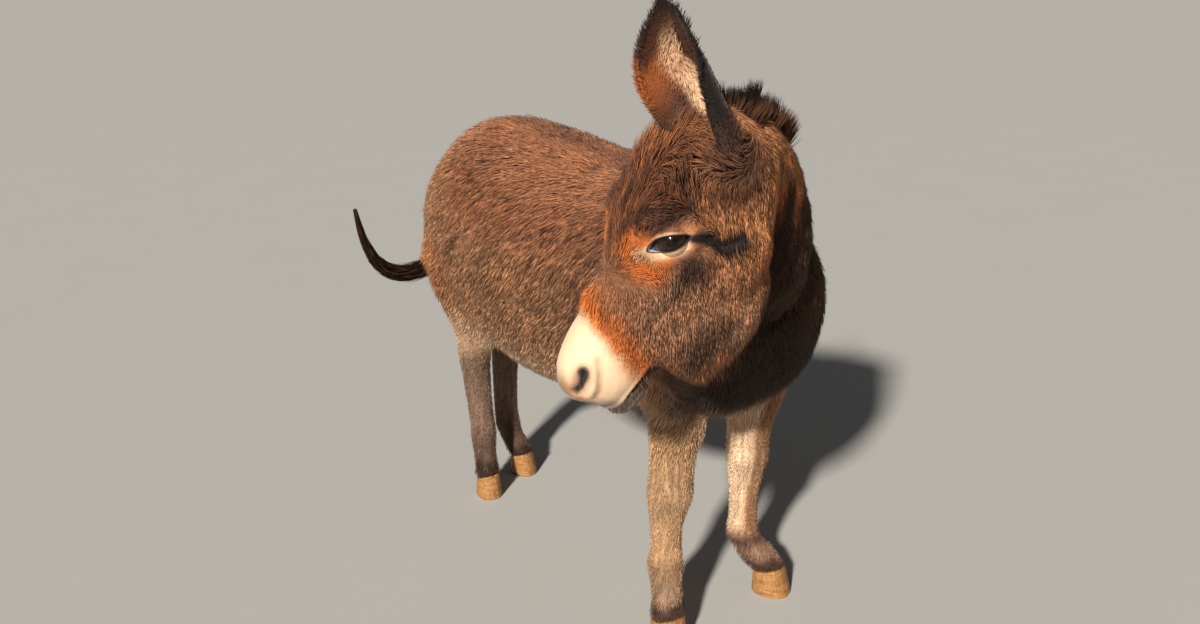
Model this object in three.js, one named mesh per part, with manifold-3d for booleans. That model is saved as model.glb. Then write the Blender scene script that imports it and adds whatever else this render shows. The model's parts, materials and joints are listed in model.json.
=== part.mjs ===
// A life-size miniature donkey in its winter coat, standing square with its head turned to its right.
// Millimetres, +Z up. The donkey faces -Y, so its left side is +X. Every solid reaches to the coat's tips.

import * as THREE from 'three';
import { mergeVertices } from 'three/addons/utils/BufferGeometryUtils.js';
import Module from 'manifold-3d';

const wasm = await Module();
wasm.setup();

// ---------------------------------------------------------------- driving dimensions

const GAP = 0.3; // between neighbouring pieces
const WITHERS = 915; // height over the shoulders
const CROUP = 960; // height over the hips
const BELLY = 400; // clearance under the belly
const CHEST_FRONT = -500; // the breast, along Y
const BUTTOCK = 526; // the rearmost flesh, along Y
const BARREL = 236; // half width of the belly
const HEAD = 470; // poll to lips
const EYE_RADIUS = 23;
const EAR_BOW = new THREE.Vector3(-26, 20, 0); // how far an ear's middle stands off its chord
const CORONET = 52; // top of the hooves

const HEAD_TURN = 112; // degrees to the right of straight ahead
const HEAD_NOD = 62; // degrees below level
const POLL = new THREE.Vector3(-240, -568, 1040);

const colours = { brown: 0x78482f, dark: 0x4a2a1e, black: 0x1e1210, horn: 0xb87a48 };

// ---------------------------------------------------------------- solids

// A closed three.js geometry as a manifold solid.
function solid(geometry) {
  const bare = geometry.clone();
  bare.deleteAttribute('normal');
  bare.deleteAttribute('uv');
  const merged = mergeVertices(bare, 1e-3);
  return new wasm.Manifold(new wasm.Mesh({
    numProp: 3,
    vertProperties: Float32Array.from(merged.attributes.position.array),
    triVerts: Uint32Array.from(merged.index.array),
  }));
}

function geometryOf(shape) {
  const mesh = shape.getMesh();
  const geometry = new THREE.BufferGeometry();
  geometry.setAttribute('position', new THREE.BufferAttribute(mesh.vertProperties.slice(), 3));
  geometry.setIndex(new THREE.BufferAttribute(mesh.triVerts.slice(), 1));
  geometry.computeVertexNormals();
  return geometry;
}

const degrees = THREE.MathUtils.degToRad;

// The rings of a sweep: how far along its spine each one lies, from 0 to 1, and how full it is. An end
// with a depth is a dome over that share of the spine, and an end without one is flat.
function ringPlan(along, startDome, endDome) {
  const dome = (depth) => (depth
    ? [0, 30, 60].map((a) => [depth * (1 - Math.cos(degrees(a))), Math.sin(degrees(a))])
    : [[0, 0]]);
  const middle = [...Array(along + 1).keys()]
    .map((i) => [startDome + (1 - startDome - endDome) * i / along, 1]);
  const tail = dome(endDome).reverse().map(([t, full]) => [1 - t, full]);
  return [...dome(startDome), ...middle, ...tail];
}

// A closed skin swept along a smooth spine. section(t, angle) gives a ring's point as a sideways reach
// and a reach along the normal. The sideways direction is turned about Z by turn(t) degrees.
function sweep(points, rings, around, section, turn) {
  const spine = new THREE.CatmullRomCurve3(points, false, 'catmullrom', 0.5);
  const geometry = new THREE.SphereGeometry(1, around, rings.length - 1);
  const position = geometry.attributes.position;
  rings.forEach(([t, full], row) => {
    const centre = spine.getPoint(t);
    const tangent = spine.getTangent(THREE.MathUtils.clamp(t, 0.001, 0.999));
    const angle = degrees(turn(t));
    const side = new THREE.Vector3(Math.cos(angle), -Math.sin(angle), 0);
    side.addScaledVector(tangent, -side.dot(tangent)).normalize();
    const normal = new THREE.Vector3().crossVectors(tangent, side);
    for (let column = 0; column <= around; column += 1) {
      const [across, out] = section(t, -2 * Math.PI * (column % around) / around);
      const point = centre.clone().addScaledVector(side, across * full).addScaledVector(normal, out * full);
      position.setXYZ(row * (around + 1) + column, point.x, point.y, point.z);
    }
  });
  return geometry;
}

// A number that changes smoothly along a spine, from its value at each station.
function along(values) {
  const curve = new THREE.CatmullRomCurve3(
    values.map((v) => new THREE.Vector3(v, 0, 0)), false, 'catmullrom', 0.5);
  return (t) => curve.getPoint(t).x;
}

// A limb, trunk or head: rounded sections, each with its own half width, its reach to the front or top
// and its reach to the back or underside.
function loft(stations, options = {}) {
  const { around = 20, steps = 16, start = 0, end = 0, square = 2.2, grow = 0 } = options;
  const wide = along(stations.map((s) => s.wide + grow));
  const front = along(stations.map((s) => s.front + grow));
  const back = along(stations.map((s) => s.back + grow));
  const turn = along(stations.map((s) => s.turn ?? 0));
  const bend = (v) => Math.sign(v) * Math.abs(v) ** (2 / square);
  const section = (t, angle) => {
    const rise = Math.sin(angle);
    return [wide(t) * bend(Math.cos(angle)), (rise > 0 ? front(t) : back(t)) * bend(rise)];
  };
  return sweep(stations.map((s) => s.at), ringPlan(steps, start, end), around, section, turn);
}

const station = (x, y, z, wide, front, back, turn = 0) => (
  { at: new THREE.Vector3(x, y, z), wide, front, back, turn });

function ellipsoid(at, radii, matrix = new THREE.Matrix4(), around = 14) {
  const geometry = new THREE.SphereGeometry(1, around, Math.round(around * 0.6));
  geometry.scale(...radii).translate(...at).applyMatrix4(matrix);
  return geometry;
}

// A block whose one face is centred on a point, and which reaches from it in a direction. It is wide
// along the level side and high along what is square to both.
function block(point, ahead, side, [wide, high, deep]) {
  const up = new THREE.Vector3().crossVectors(ahead, side).normalize();
  const matrix = new THREE.Matrix4().makeBasis(side, up, ahead).setPosition(point);
  return new THREE.BoxGeometry(wide, high, deep).translate(0, 0, deep / 2).applyMatrix4(matrix);
}

// A cutter is a block that can be asked for a little larger all round.
function cutter(point, direction, sideways, size) {
  const ahead = direction.clone().normalize();
  const side = sideways.clone().addScaledVector(ahead, -sideways.dot(ahead)).normalize();
  return (grow) => solid(
    block(point.clone().addScaledVector(ahead, -grow), ahead, side, size.map((v) => v + 2 * grow)));
}

// Parts a solid in two with a thin gap: what lies inside every one of the cutters, and the rest.
function part(shape, ...cutters) {
  const whole = (grow) => cutters.map((c) => c(grow)).reduce((a, b) => a.intersect(b));
  return [shape.intersect(whole(0)), shape.subtract(whole(GAP))];
}

// ---------------------------------------------------------------- trunk and neck

const trunkStations = [
  station(0, BUTTOCK, 695, 95, 90, 90),
  station(0, 462, 700, 155, 176, 146),
  station(0, 370, 695, 194, CROUP - 697, 225),
  station(0, 230, 680, 214, CROUP - 683, 258),
  station(0, 80, 665, BARREL, 270, 665 - BELLY),
  station(0, -80, 660, BARREL - 4, 255, 655 - BELLY),
  station(0, -220, 665, 214, WITHERS - 665, 245),
  station(0, -340, 650, 198, 240, 208),
  station(0, -440, 612, 186, 200, 152),
  station(0, CHEST_FRONT, 596, 142, 130, 104),
];

const neckStations = [
  station(0, -250, 735, 140, 185, 190, 0),
  station(-16, -355, 795, 158, 165, 190, 8),
  station(-60, -448, 876, 134, 138, 180, 35),
  station(-136, -515, 945, 104, 114, 160, 68),
  station(-212, -545, 990, 90, 90, 130, 100),
];

// ---------------------------------------------------------------- head

// The head is laid out looking along -Y with its poll at the origin, then turned, nodded and placed.
const headMatrix = new THREE.Matrix4()
  .makeTranslation(POLL.x, POLL.y, POLL.z)
  .multiply(new THREE.Matrix4().makeRotationZ(-degrees(HEAD_TURN)))
  .multiply(new THREE.Matrix4().makeRotationX(degrees(HEAD_NOD)));
const onHead = (x, y, z) => new THREE.Vector3(x, y, z).applyMatrix4(headMatrix);

const skullStations = [
  station(0, 40, -40, 62, 56, 62),
  station(0, -30, -25, 86, 92, 120),
  station(0, -105, -10, 100, 104, 168),
  station(0, -170, 0, 104, 92, 186),
  station(0, -235, 0, 90, 70, 172),
  station(0, -300, 0, 70, 60, 134),
  station(0, -360, 0, 60, 69, 88),
  station(0, -415, 2, 58, 63, 60),
  station(0, -HEAD + 6, -4, 46, 38, 46),
];
const EYE = [83, -168, 26];
const NOSTRIL = [50, -424, 26];

// The head's flesh, grown all round by a little where another piece has to clear it.
function headSolid(grow = 0) {
  const lump = (at, radii) => solid(ellipsoid(at, radii.map((r) => r + grow), headMatrix, 10));
  let head = solid(loft(skullStations, { around: 22, steps: 14, start: 0.05, end: 0.06, grow })
    .applyMatrix4(headMatrix));
  for (const side of [-1, 1]) {
    head = head.add(lump([side * 58, -150, -78], [46, 88, 80]));
    head = head.add(lump([side * 64, -146, 50], [38, 56, 34]));
    head = head.add(lump([side * 32, -232, -110], [54, 134, 94])); // long hair hanging from the jaw
  }
  head = head.add(lump([0, -306, 34], [46, 50, 44])); // hair standing on the bridge of the nose
  head = head.add(lump([0, -408, -56], [36, 54, 30]));
  return head;
}

function carveFace(head) {
  let carved = head;
  for (const side of [-1, 1]) {
    const socket = new THREE.SphereGeometry(EYE_RADIUS + GAP, 14, 10)
      .translate(side * EYE[0], EYE[1], EYE[2]).applyMatrix4(headMatrix);
    carved = carved.subtract(solid(socket));
    const nostril = ellipsoid([side * NOSTRIL[0], NOSTRIL[1], NOSTRIL[2]], [14, 20, 9], headMatrix, 8);
    carved = carved.subtract(solid(nostril));
  }
  return carved;
}

// ---------------------------------------------------------------- ears, mane and tail

// An ear is a leaf-shaped cup: a curled wall, closed to a tube at its base, that opens upwards. The cup
// faces the level direction whose heading is turn, and the tip leans from the base by lean. A filled ear
// has no hollow.
function earSolid(base, lean, turn, filled = false) {
  const width = along([44, 52, 58, 58, 50, 34, 12]);
  const curl = along([320, 276, 238, 205, 180, 160, 140]);
  const wall = along([12, 11, 10, 9, 8, 6, 4]);
  const hollow = along([0, 0.45, 0.9, 1, 1, 1, 1]);
  const section = (t, angle) => {
    const round = THREE.MathUtils.euclideanModulo(angle, 2 * Math.PI);
    const outer = round < Math.PI;
    const bend = degrees(curl(t)) * ((outer ? round / Math.PI : 2 - round / Math.PI) - 0.5);
    const room = filled ? 0 : (width(t) - wall(t)) * hollow(t);
    const reach = (outer ? width(t) : room) + 0.5;
    return [reach * Math.sin(bend), -0.8 * reach * Math.cos(bend)];
  };
  const middle = base.clone().addScaledVector(lean, 0.5).add(EAR_BOW);
  const spine = [base, middle, base.clone().add(lean)];
  return solid(sweep(spine, ringPlan(8, 0, 0.1), 18, section, () => turn));
}

// The crest of the neck, as a share of the way from the withers to the poll. The bend of the neck
// carries it to the left of the neck's middle by drift.
function crest(share, drift) {
  const spine = new THREE.CatmullRomCurve3(neckStations.map((s) => s.at), false, 'catmullrom', 0.5);
  const turn = degrees(along(neckStations.map((s) => s.turn))(share));
  const side = new THREE.Vector3(Math.cos(turn), -Math.sin(turn), 0);
  const normal = new THREE.Vector3().crossVectors(spine.getTangent(share), side).normalize();
  const reach = along(neckStations.map((s) => s.front))(share) - drift / 4;
  return spine.getPoint(share).addScaledVector(normal, reach).addScaledVector(side, drift);
}

function maneSolid() {
  const upright = (at, turn, rise, wide) => ({ at, wide, front: rise, back: 34, turn });
  const stations = [
    upright(new THREE.Vector3(0, -150, WITHERS - 12), 0, 12, 14),
    upright(crest(0.15, 8), 2, 32, 17),
    upright(crest(0.4, 40), 20, 50, 19),
    upright(crest(0.65, 46), 50, 56, 23),
    upright(crest(0.9, 18), 88, 46, 23),
    upright(onHead(0, 22, 56), HEAD_TURN, 30, 18),
    upright(onHead(0, -45, 92), HEAD_TURN, 12, 14),
  ];
  return solid(loft(stations, { around: 10, steps: 11, start: 0.04, end: 0.06 }));
}

// The tail drops from the dock, swings to the right and curls up at its tip.
const tailStations = [
  station(0, 480, 810, 26, 26, 26, 90),
  station(44, 520, 745, 27, 27, 27, 90),
  station(80, 548, 675, 24, 24, 24, 90),
  station(60, 576, 600, 25, 25, 25, 90),
  station(-62, 600, 560, 28, 27, 27, 90),
  station(-140, 603, 550, 26, 25, 25, 90),
  station(-204, 600, 582, 20, 19, 19, 90),
  station(-243, 600, 650, 13, 12, 12, 90),
  station(-262, 600, 735, 5, 5, 5, 90),
];

// ---------------------------------------------------------------- legs

// Each foreleg from the shoulder to inside the hoof. hoofX and hoofY place the foot. The fetlocks of the
// left legs are lower, with more bend in them.
function foreleg(side, hoofX, hoofY, cannonX, cannonY, turn) {
  const [bulk, shift, fetlock, pastern] = side > 0 ? [1.13, 6, 116, 86] : [0.94, 13, 145, 100];
  const x = (share) => THREE.MathUtils.lerp(side * 112, cannonX, share);
  const y = (share) => THREE.MathUtils.lerp(-345, cannonY, share);
  return [
    station(x(0), -325, 720, 50, 80, 80),
    station(x(0) + shift, -325, 620, 86 * bulk, 112, 108),
    station(x(0.2) + shift, y(0.2), 500, 74 * bulk, 88, 64),
    station(x(0.5) + shift * 0.8, y(0.5), 420, 50 * bulk, 57, 46),
    station(x(0.8) + shift * 0.6, y(0.8), 345, 45, 47, 43),
    station(x(0.9) + shift * 0.4, y(0.9), 300, 48, 50, 43),
    station(x(1), y(1), 255, 37, 37, 37),
    station(x(1), y(1), fetlock + 60, 31, 30, 32),
    station(x(1), y(1), fetlock, 37, 35, 44),
    station((cannonX + hoofX) / 2, (cannonY + hoofY) / 2, pastern, 31, 29, 37, turn),
    station(hoofX, hoofY, 60, 35, 37, 36, turn),
    station(hoofX, hoofY, 20, 34, 35, 33, turn),
  ];
}

function hindleg(side, hoofX, hoofY, cannonX, cannonY, turn) {
  const [fetlock, pastern] = side > 0 ? [122, 86] : [150, 100];
  const x = (share) => THREE.MathUtils.lerp(side * 105, cannonX, share);
  return [
    station(x(0), 370, 770, 60, 110, 90),
    station(x(0), 372, 650, 96, 160, 114),
    station(x(0.1), 365, 555, 82, 138, 70),
    station(x(0.35), cannonY - 38, 470, 57, 88, 46),
    station(x(0.6), cannonY - 10, 400, 44, 52, 38),
    station(x(0.8), cannonY + 2, 345, 39, 41, 38),
    station(x(0.9), cannonY + 2, 290, 35, 35, 35),
    station(x(1), cannonY, fetlock + 65, 32, 31, 32),
    station(x(1), cannonY - 8, fetlock, 34, 33, 35),
    station((cannonX + hoofX) / 2, (cannonY + hoofY) / 2, pastern, 29, 28, 30, turn),
    station(hoofX, hoofY, 60, 31, 33, 32, turn),
    station(hoofX, hoofY, 20, 30, 31, 30, turn),
  ];
}

const ground = new THREE.BoxGeometry(3000, 3000, 400).translate(0, 0, -200);

// A hoof stands on its own flat sole, narrow and upright, with its toe sloped forwards.
function hoofSolid(hoofX, hoofY, turn, size) {
  const ring = (z, wide, toe, heel) => station(hoofX, hoofY, z, wide * size, toe * size, heel * size, turn);
  const stations = [ring(75, 31, 27, 31), ring(50, 33, 34, 33), ring(0, 37, 48, 35), ring(-25, 39, 54, 36)];
  return solid(loft(stations, { around: 16, steps: 4, square: 2.3 })).subtract(solid(ground));
}

// Where each foot stands and the way it points, and where its cannon bone comes down.
const feet = {
  fore_right: { side: -1, hoof: [-148, -380], turn: 18, cannon: [-122, -346], build: foreleg, size: 1 },
  fore_left: { side: 1, hoof: [138, -394], turn: -18, cannon: [119, -331], build: foreleg, size: 1 },
  hind_right: { side: -1, hoof: [-76, 362], turn: 16, cannon: [-62, 402], build: hindleg, size: 0.86 },
  hind_left: { side: 1, hoof: [62, 406], turn: -16, cannon: [56, 464], build: hindleg, size: 0.86 },
};

// ---------------------------------------------------------------- everything together

const donkey = new THREE.Group();

function add(name, shape, colour, roughness = 0.9) {
  const mesh = new THREE.Mesh(
    geometryOf(shape), new THREE.MeshStandardMaterial({ color: colour, roughness, metalness: 0 }));
  mesh.name = name;
  donkey.add(mesh);
}

// All the flesh as one solid, grown by a little where another piece has to clear it.
function fleshSolid(grow = 0) {
  let flesh = solid(loft(trunkStations, { around: 24, steps: 16, start: 0.05, end: 0.05, grow }))
    .add(solid(loft(neckStations, { around: 20, steps: 8, grow })))
    .add(headSolid(grow));
  for (const { side, hoof, turn, cannon, build } of Object.values(feet)) {
    const leg = build(side, ...hoof, ...cannon, turn);
    flesh = flesh.add(solid(loft(leg, { around: 12, steps: 14, start: 0.03, grow })));
  }
  return flesh;
}

const clearance = fleshSolid(GAP);
const across = new THREE.Vector3(1, 0, 0);
let rest = carveFace(fleshSolid());
let taken;

const alongHead = (x, y, z) => onHead(x, y, z).sub(onHead(0, 0, 0));
[taken, rest] = part(
  rest,
  cutter(onHead(0, -118, -92), alongHead(0, -0.766, 0.643), alongHead(1, 0, 0), [250, 440, 500]),
  cutter(onHead(0, -230, -212), alongHead(0, 0.253, 0.968), alongHead(1, 0, 0), [400, 800, 500]),
  cutter(onHead(-89, -230, -152), alongHead(0.8, 0, 0.6), alongHead(1, 0, 0), [500, 800, 500]),
);
add('head', taken, colours.brown);
[taken, rest] = part(
  rest,
  cutter(new THREE.Vector3(-10, -345, 800), new THREE.Vector3(-0.1, -0.6, 0.8), across, [760, 600, 500]),
);
add('neck', taken, colours.brown);

for (const [name, { side, hoof, turn, cannon, size }] of Object.entries(feet)) {
  const fore = name.startsWith('fore');
  const [top, slope, knee] = fore
    ? [new THREE.Vector3(side * 151, cannon[1], 440), [0, -0.3, -0.95], 295]
    : [new THREE.Vector3(side * 151, cannon[1] - 30, 454), [0, 0.4, -0.92], 345];
  const coronet = cutter(
    new THREE.Vector3(...hoof, CORONET), new THREE.Vector3(0, -0.3, -0.95), across, [200, 200, 100]);
  const down = new THREE.Vector3(0, 0, -1);
  const shin = cutter(new THREE.Vector3(...cannon, knee), down, across, [200, 300, 400]);
  [taken, rest] = part(rest, cutter(top, new THREE.Vector3(...slope), across, [301, 640, 620]));
  const [lower, upper] = part(part(taken, coronet)[1], shin);
  add(`${name}_leg`, upper, colours.brown);
  add(`${name}_cannon`, lower, colours.dark);
  add(`${name}_hoof`, part(hoofSolid(...hoof, turn, size), coronet)[0], colours.horn, 0.6);
}
add('trunk', rest, colours.brown);

for (const side of [-1, 1]) {
  const eye = new THREE.SphereGeometry(EYE_RADIUS, 14, 10).translate(side * EYE[0], EYE[1], EYE[2]);
  add(side > 0 ? 'eye_left' : 'eye_right', solid(eye.applyMatrix4(headMatrix)), colours.black, 0.2);
}

const ears = {
  ear_left: [onHead(65, -16, 5), new THREE.Vector3(-72, 57, 208), -107],
  ear_right: [onHead(-65, -16, 5), new THREE.Vector3(-42, 30, 208), -40],
};
let mane = maneSolid().subtract(clearance);
for (const [name, ear] of Object.entries(ears)) {
  add(name, earSolid(...ear).subtract(clearance), colours.dark);
  const [base, lean, turn] = ear;
  mane = mane.subtract(earSolid(base, lean, turn, true));
  for (const step of [GAP, -GAP]) {
    for (const axis of ['x', 'y', 'z']) {
      const beside = base.clone();
      beside[axis] += step;
      mane = mane.subtract(earSolid(beside, lean, turn));
    }
  }
}
add('mane', mane, colours.black);

const [tuft, dock] = part(
  solid(loft(tailStations, { around: 10, steps: 13, end: 0.06 })).subtract(clearance),
  cutter(new THREE.Vector3(60, 576, 600), new THREE.Vector3(-0.6, 0, -0.8), across, [760, 160, 420]));
add('tail_dock', dock, colours.dark);
add('tail_tuft', tuft, colours.black);

// The origin is on the ground under the middle of the whole animal.
const middle = new THREE.Box3().setFromObject(donkey).getCenter(new THREE.Vector3());
donkey.position.set(-middle.x, -middle.y, 0);

export default donkey;
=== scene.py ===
"""A life-size miniature donkey in its winter coat, standing with its head turned to its right.

Metres, +Z up. The trunk points along -Y and the animal's left side is +X. One skin replaces the solids of
flesh, and the coat is laid over it as closed, tapering tufts of hair.
"""

import json
import math
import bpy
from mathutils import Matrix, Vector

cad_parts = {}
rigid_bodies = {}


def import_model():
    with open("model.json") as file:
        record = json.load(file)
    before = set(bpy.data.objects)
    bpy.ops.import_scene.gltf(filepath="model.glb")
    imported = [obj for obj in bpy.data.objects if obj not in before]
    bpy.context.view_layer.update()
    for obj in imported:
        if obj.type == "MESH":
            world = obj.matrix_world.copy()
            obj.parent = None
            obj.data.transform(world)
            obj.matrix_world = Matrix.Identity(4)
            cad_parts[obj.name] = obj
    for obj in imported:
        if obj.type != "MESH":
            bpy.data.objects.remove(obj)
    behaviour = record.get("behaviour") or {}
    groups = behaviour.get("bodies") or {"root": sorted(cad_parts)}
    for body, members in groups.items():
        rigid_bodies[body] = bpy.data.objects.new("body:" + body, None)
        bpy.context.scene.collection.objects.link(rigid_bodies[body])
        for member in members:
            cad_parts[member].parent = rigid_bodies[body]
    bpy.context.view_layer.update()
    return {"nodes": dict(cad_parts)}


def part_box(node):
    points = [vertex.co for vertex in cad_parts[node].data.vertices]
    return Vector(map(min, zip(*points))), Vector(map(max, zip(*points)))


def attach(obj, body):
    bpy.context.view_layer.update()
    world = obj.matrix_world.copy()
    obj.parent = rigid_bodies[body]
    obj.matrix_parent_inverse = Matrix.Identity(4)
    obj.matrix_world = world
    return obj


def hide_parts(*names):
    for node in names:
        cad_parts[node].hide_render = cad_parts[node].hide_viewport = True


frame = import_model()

from types import SimpleNamespace

import bmesh
import bpy
import numpy as np
from bpy.props import FloatProperty, FloatVectorProperty, IntProperty, PointerProperty
from mathutils import Matrix, Vector

bl_info = {
    "name": "Miniature Donkey",
    "version": (1, 0, 0),
    "blender": (4, 5, 0),
    "location": "View3D > Sidebar > Donkey",
    "description": "Dresses the solid model of a miniature donkey with skin, eyes, hooves and a winter coat",
    "category": "Object",
}

BODY = "root"
FEET = ("fore_right", "fore_left", "hind_right", "hind_left")
FLESH = ["head", "neck", "trunk", "tail_dock"]
FLESH += [f"{foot}_{piece}" for foot in FEET for piece in ("leg", "cannon")]
MM = 0.001
TRUNK_X = float(sum(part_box("trunk"), Vector()).x) / 2


# ---------------------------------------------------------------- arrays


def unit(vectors):
    """Each vector divided by its length."""
    return vectors / np.maximum(np.linalg.norm(vectors, axis=-1, keepdims=True), 1e-9)


def dot(a, b):
    """The dot product of each pair of vectors, kept as a column."""
    return (a * b).sum(-1, keepdims=True)


def smooth(low, high, value):
    """0 below low, 1 above high, and 3t^2 - 2t^3 between them. low may be above high."""
    t = np.clip((value - low) / (high - low), 0, 1)
    return t * t * (3 - 2 * t)


def bump(value, centre, width):
    """1 at the centre, falling as exp(-(distance / width)^2)."""
    return np.exp(-(((value - centre) / width) ** 2))


def blob(points, centre, radii):
    """1 at the centre of an ellipsoid, falling as exp(-d^2), with d the distance in radii."""
    offset = (points - np.asarray(centre)) / np.asarray(radii)
    return np.exp(-(offset**2).sum(-1))


def lattice(cells, seed):
    """A number from 0 to 1 for each whole-numbered cell, by mixing the bits of its three indices."""
    mixed = cells[..., 0] * 73856093 ^ cells[..., 1] * 19349663 ^ cells[..., 2] * 83492791 ^ seed * 2654435
    mixed = (mixed ^ (mixed >> 13)) * 1274126177 & 0x7FFFFFFF
    return ((mixed ^ (mixed >> 16)) & 0xFFFFF) / 0xFFFFF


def noise(points, size, seed=0):
    """Value noise from -1 to 1: lattice values a cell apart, joined by smooth trilinear steps."""
    scaled = points / np.asarray(size)
    cell = np.floor(scaled).astype(np.int64)
    t = scaled - cell
    t = t * t * (3 - 2 * t)
    total = np.zeros(len(points))
    for corner in np.ndindex(2, 2, 2):
        weight = np.prod(np.where(corner, t, 1 - t), axis=-1)
        total += weight * lattice(cell + np.array(corner), seed)
    return 2 * total - 1


def noise_vectors(points, size, seed=0):
    """Value noise for each of the three directions, from seeds that follow each other."""
    return np.stack([noise(points, size, seed + k) for k in range(3)], -1)


def line_distance(points, corners):
    """How far each point is from a line through corners, and how far along it the nearest place lies."""
    best = np.full(len(points), np.inf)
    share = np.zeros(len(points))
    corners = np.asarray(corners, float)
    for k in range(len(corners) - 1):
        leg = corners[k + 1] - corners[k]
        t = np.clip(((points - corners[k]) @ leg) / (leg @ leg), 0, 1)
        distance = np.linalg.norm(points - corners[k] - t[:, None] * leg, axis=1)
        nearer = distance < best
        best = np.where(nearer, distance, best)
        share = np.where(nearer, (k + t) / (len(corners) - 1), share)
    return best, share


def curve(values, t):
    """Catmull-Rom curve through rows of values, at each t from 0 to 1."""
    rows = np.asarray(values, float)
    rows = np.concatenate([2 * rows[:1] - rows[1:2], rows, 2 * rows[-1:] - rows[-2:-1]])
    place = np.clip(np.asarray(t, float), 0, 1) * (len(rows) - 3)
    k = np.minimum(place.astype(int), len(rows) - 4)
    u = (place - k).reshape(place.shape + (1,) * (rows.ndim - 1))
    a, b, c, d = rows[k], rows[k + 1], rows[k + 2], rows[k + 3]
    return b + 0.5 * u * (c - a + u * (2 * a - 5 * b + 4 * c - d + u * (3 * b - a - 3 * c + d)))


def tangent_of(values, t, step=0.01):
    """The way a curve runs at each t, from the places one step before and after it."""
    return unit(curve(values, t + step) - curve(values, t - step))


# ---------------------------------------------------------------- the head's own frame

# The head looks along its own -Y from the poll at its origin, with +X to its left and +Z out of its brow.
HEAD_NOD = math.radians(62)
EYE_IN_HEAD = np.array([0.083, -0.168, 0.026])


def head_frame():
    """Turn matrix and origin of the head: its sideways axis runs through both eyes."""
    left, right = (np.array(sum(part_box(name), Vector())) / 2 for name in ("eye_left", "eye_right"))
    side = unit(left - right)
    level = np.array([-side[1], side[0], 0])
    back = level * math.cos(HEAD_NOD) + np.array([0, 0, math.sin(HEAD_NOD)])
    turn = np.stack([side, back, np.cross(side, back)], 1)
    return turn, (left + right) / 2 - turn @ (EYE_IN_HEAD * [0, 1, 1])


HEAD_TURN, POLL = head_frame()


def to_head(points):
    """Points of the shared frame in the head's."""
    return (points - POLL) @ HEAD_TURN


def from_head(points):
    """Points of the head's frame in the shared one."""
    return np.asarray(points, float) @ HEAD_TURN.T + POLL


def aim_from_head(vectors):
    """Directions of the head's frame in the shared one."""
    return np.asarray(vectors, float) @ HEAD_TURN.T


def one_side(head_points):
    """Points of the right side of the face moved to their mirror places on the left."""
    return np.column_stack([np.abs(head_points[:, 0]), head_points[:, 1:]])


# The slit of the eye in the head's frame: along it from the inner to the outer corner, up over the brow,
# and straight out of the eye.
SLIT_ALONG = np.array([0.323, 0.661, -0.677])
SLIT_OUT = np.array([0.937, -0.135, 0.315])
SLIT_UP = np.cross(SLIT_OUT, SLIT_ALONG)
EYE_RADIUS = float((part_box("eye_left")[1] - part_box("eye_left")[0]).z) / 2


def to_eye(head_points):
    """Coordinates along, up and out of the slit of the eye, for points of either side's face."""
    offset = one_side(head_points) - EYE_IN_HEAD
    return np.stack([offset @ SLIT_ALONG, offset @ SLIT_UP, offset @ SLIT_OUT], -1)


def from_eye(eye_points, side):
    """Points in the head's frame from the eye's, with side 1 for the left eye and -1 for the right."""
    placed = EYE_IN_HEAD + eye_points @ np.stack([SLIT_ALONG, SLIT_UP, SLIT_OUT])
    placed[:, 0] *= side
    return placed


# ---------------------------------------------------------------- lines of the face

# Lines of the left side of the face in the head's frame, which the right side mirrors: the slit and the fold
# of the nostril, the mouth from its corner to the front, and the crease behind the eye in the eye's frame.
NOSTRIL = np.array([(47, -408, 42), (47, -420, 39), (42, -433, 36), (36, -440, 36)]) * MM
NOSTRIL_FOLD = np.array([(55, -380, 32), (58, -392, 23), (58, -408, 15), (55, -424, 8), (48, -438, 6)]) * MM
MOUTH = np.array([(48, -362, -56), (43, -388, -53), (35, -414, -49), (21, -440, -45), (0, -458, -42)]) * MM
CREASE = np.array([(27, -5, 0), (38, -8, 0), (50, -12, 0), (66, -23, 0), (80, -27, 0), (95, -25, 0)]) * MM

# The opening of the eye, along and up the slit, and how thick the lids are.
SLIT_START, SLIT_END = -36 * MM, 28 * MM
SLIT_MIDDLE = np.array([-4, -1]) * MM
CORNER_HEIGHT = 10.5 * MM
LID = 3 * MM


def slit_rim():
    """The rim of the opening: each lid is its middle line plus or minus a flattened half wave."""
    t = np.linspace(0, 1, 120)
    along = SLIT_START + (SLIT_END - SLIT_START) * t
    middle = (-5 + 2 * t) * MM
    upper = middle + 15.0 * MM * np.sin(np.pi * t**0.85) ** 0.65
    lower = middle - 8.3 * MM * np.sin(np.pi * t**0.95) ** 0.8
    return np.concatenate([np.stack([along, upper], 1), np.stack([along, lower], 1)[-2:0:-1]])


def slit_place(eye_points):
    """How far out each point lies, as a share of the way from the middle of the opening to its rim, and how
    far the rim is from the middle that way."""
    rim = slit_rim() - SLIT_MIDDLE
    heading = np.arctan2(rim[:, 1], rim[:, 0])
    order = np.argsort(heading)
    offset = eye_points[:, :2] - SLIT_MIDDLE
    reach = np.interp(
        np.arctan2(offset[:, 1], offset[:, 0]), heading[order], np.hypot(rim[:, 0], rim[:, 1])[order],
        period=2 * np.pi)
    return np.hypot(offset[:, 0], offset[:, 1]) / reach, reach


# ---------------------------------------------------------------- meshes


def read_array(items, label, width, kind=np.float32):
    """A property of every item of a collection, as rows of so many numbers."""
    values = np.empty(len(items) * width, kind)
    items.foreach_get(label, values)
    return values.reshape(-1, width)


def set_points(mesh, points):
    """Moves a mesh's points."""
    mesh.vertices.foreach_set("co", np.asarray(points, np.float32).ravel())
    mesh.update()


def points_of(mesh):
    """A mesh's points."""
    return read_array(mesh.vertices, "co", 3).astype(float)


def normals_of(mesh):
    """The smooth normals at a mesh's points."""
    return read_array(mesh.vertices, "normal", 3).astype(float)


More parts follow.
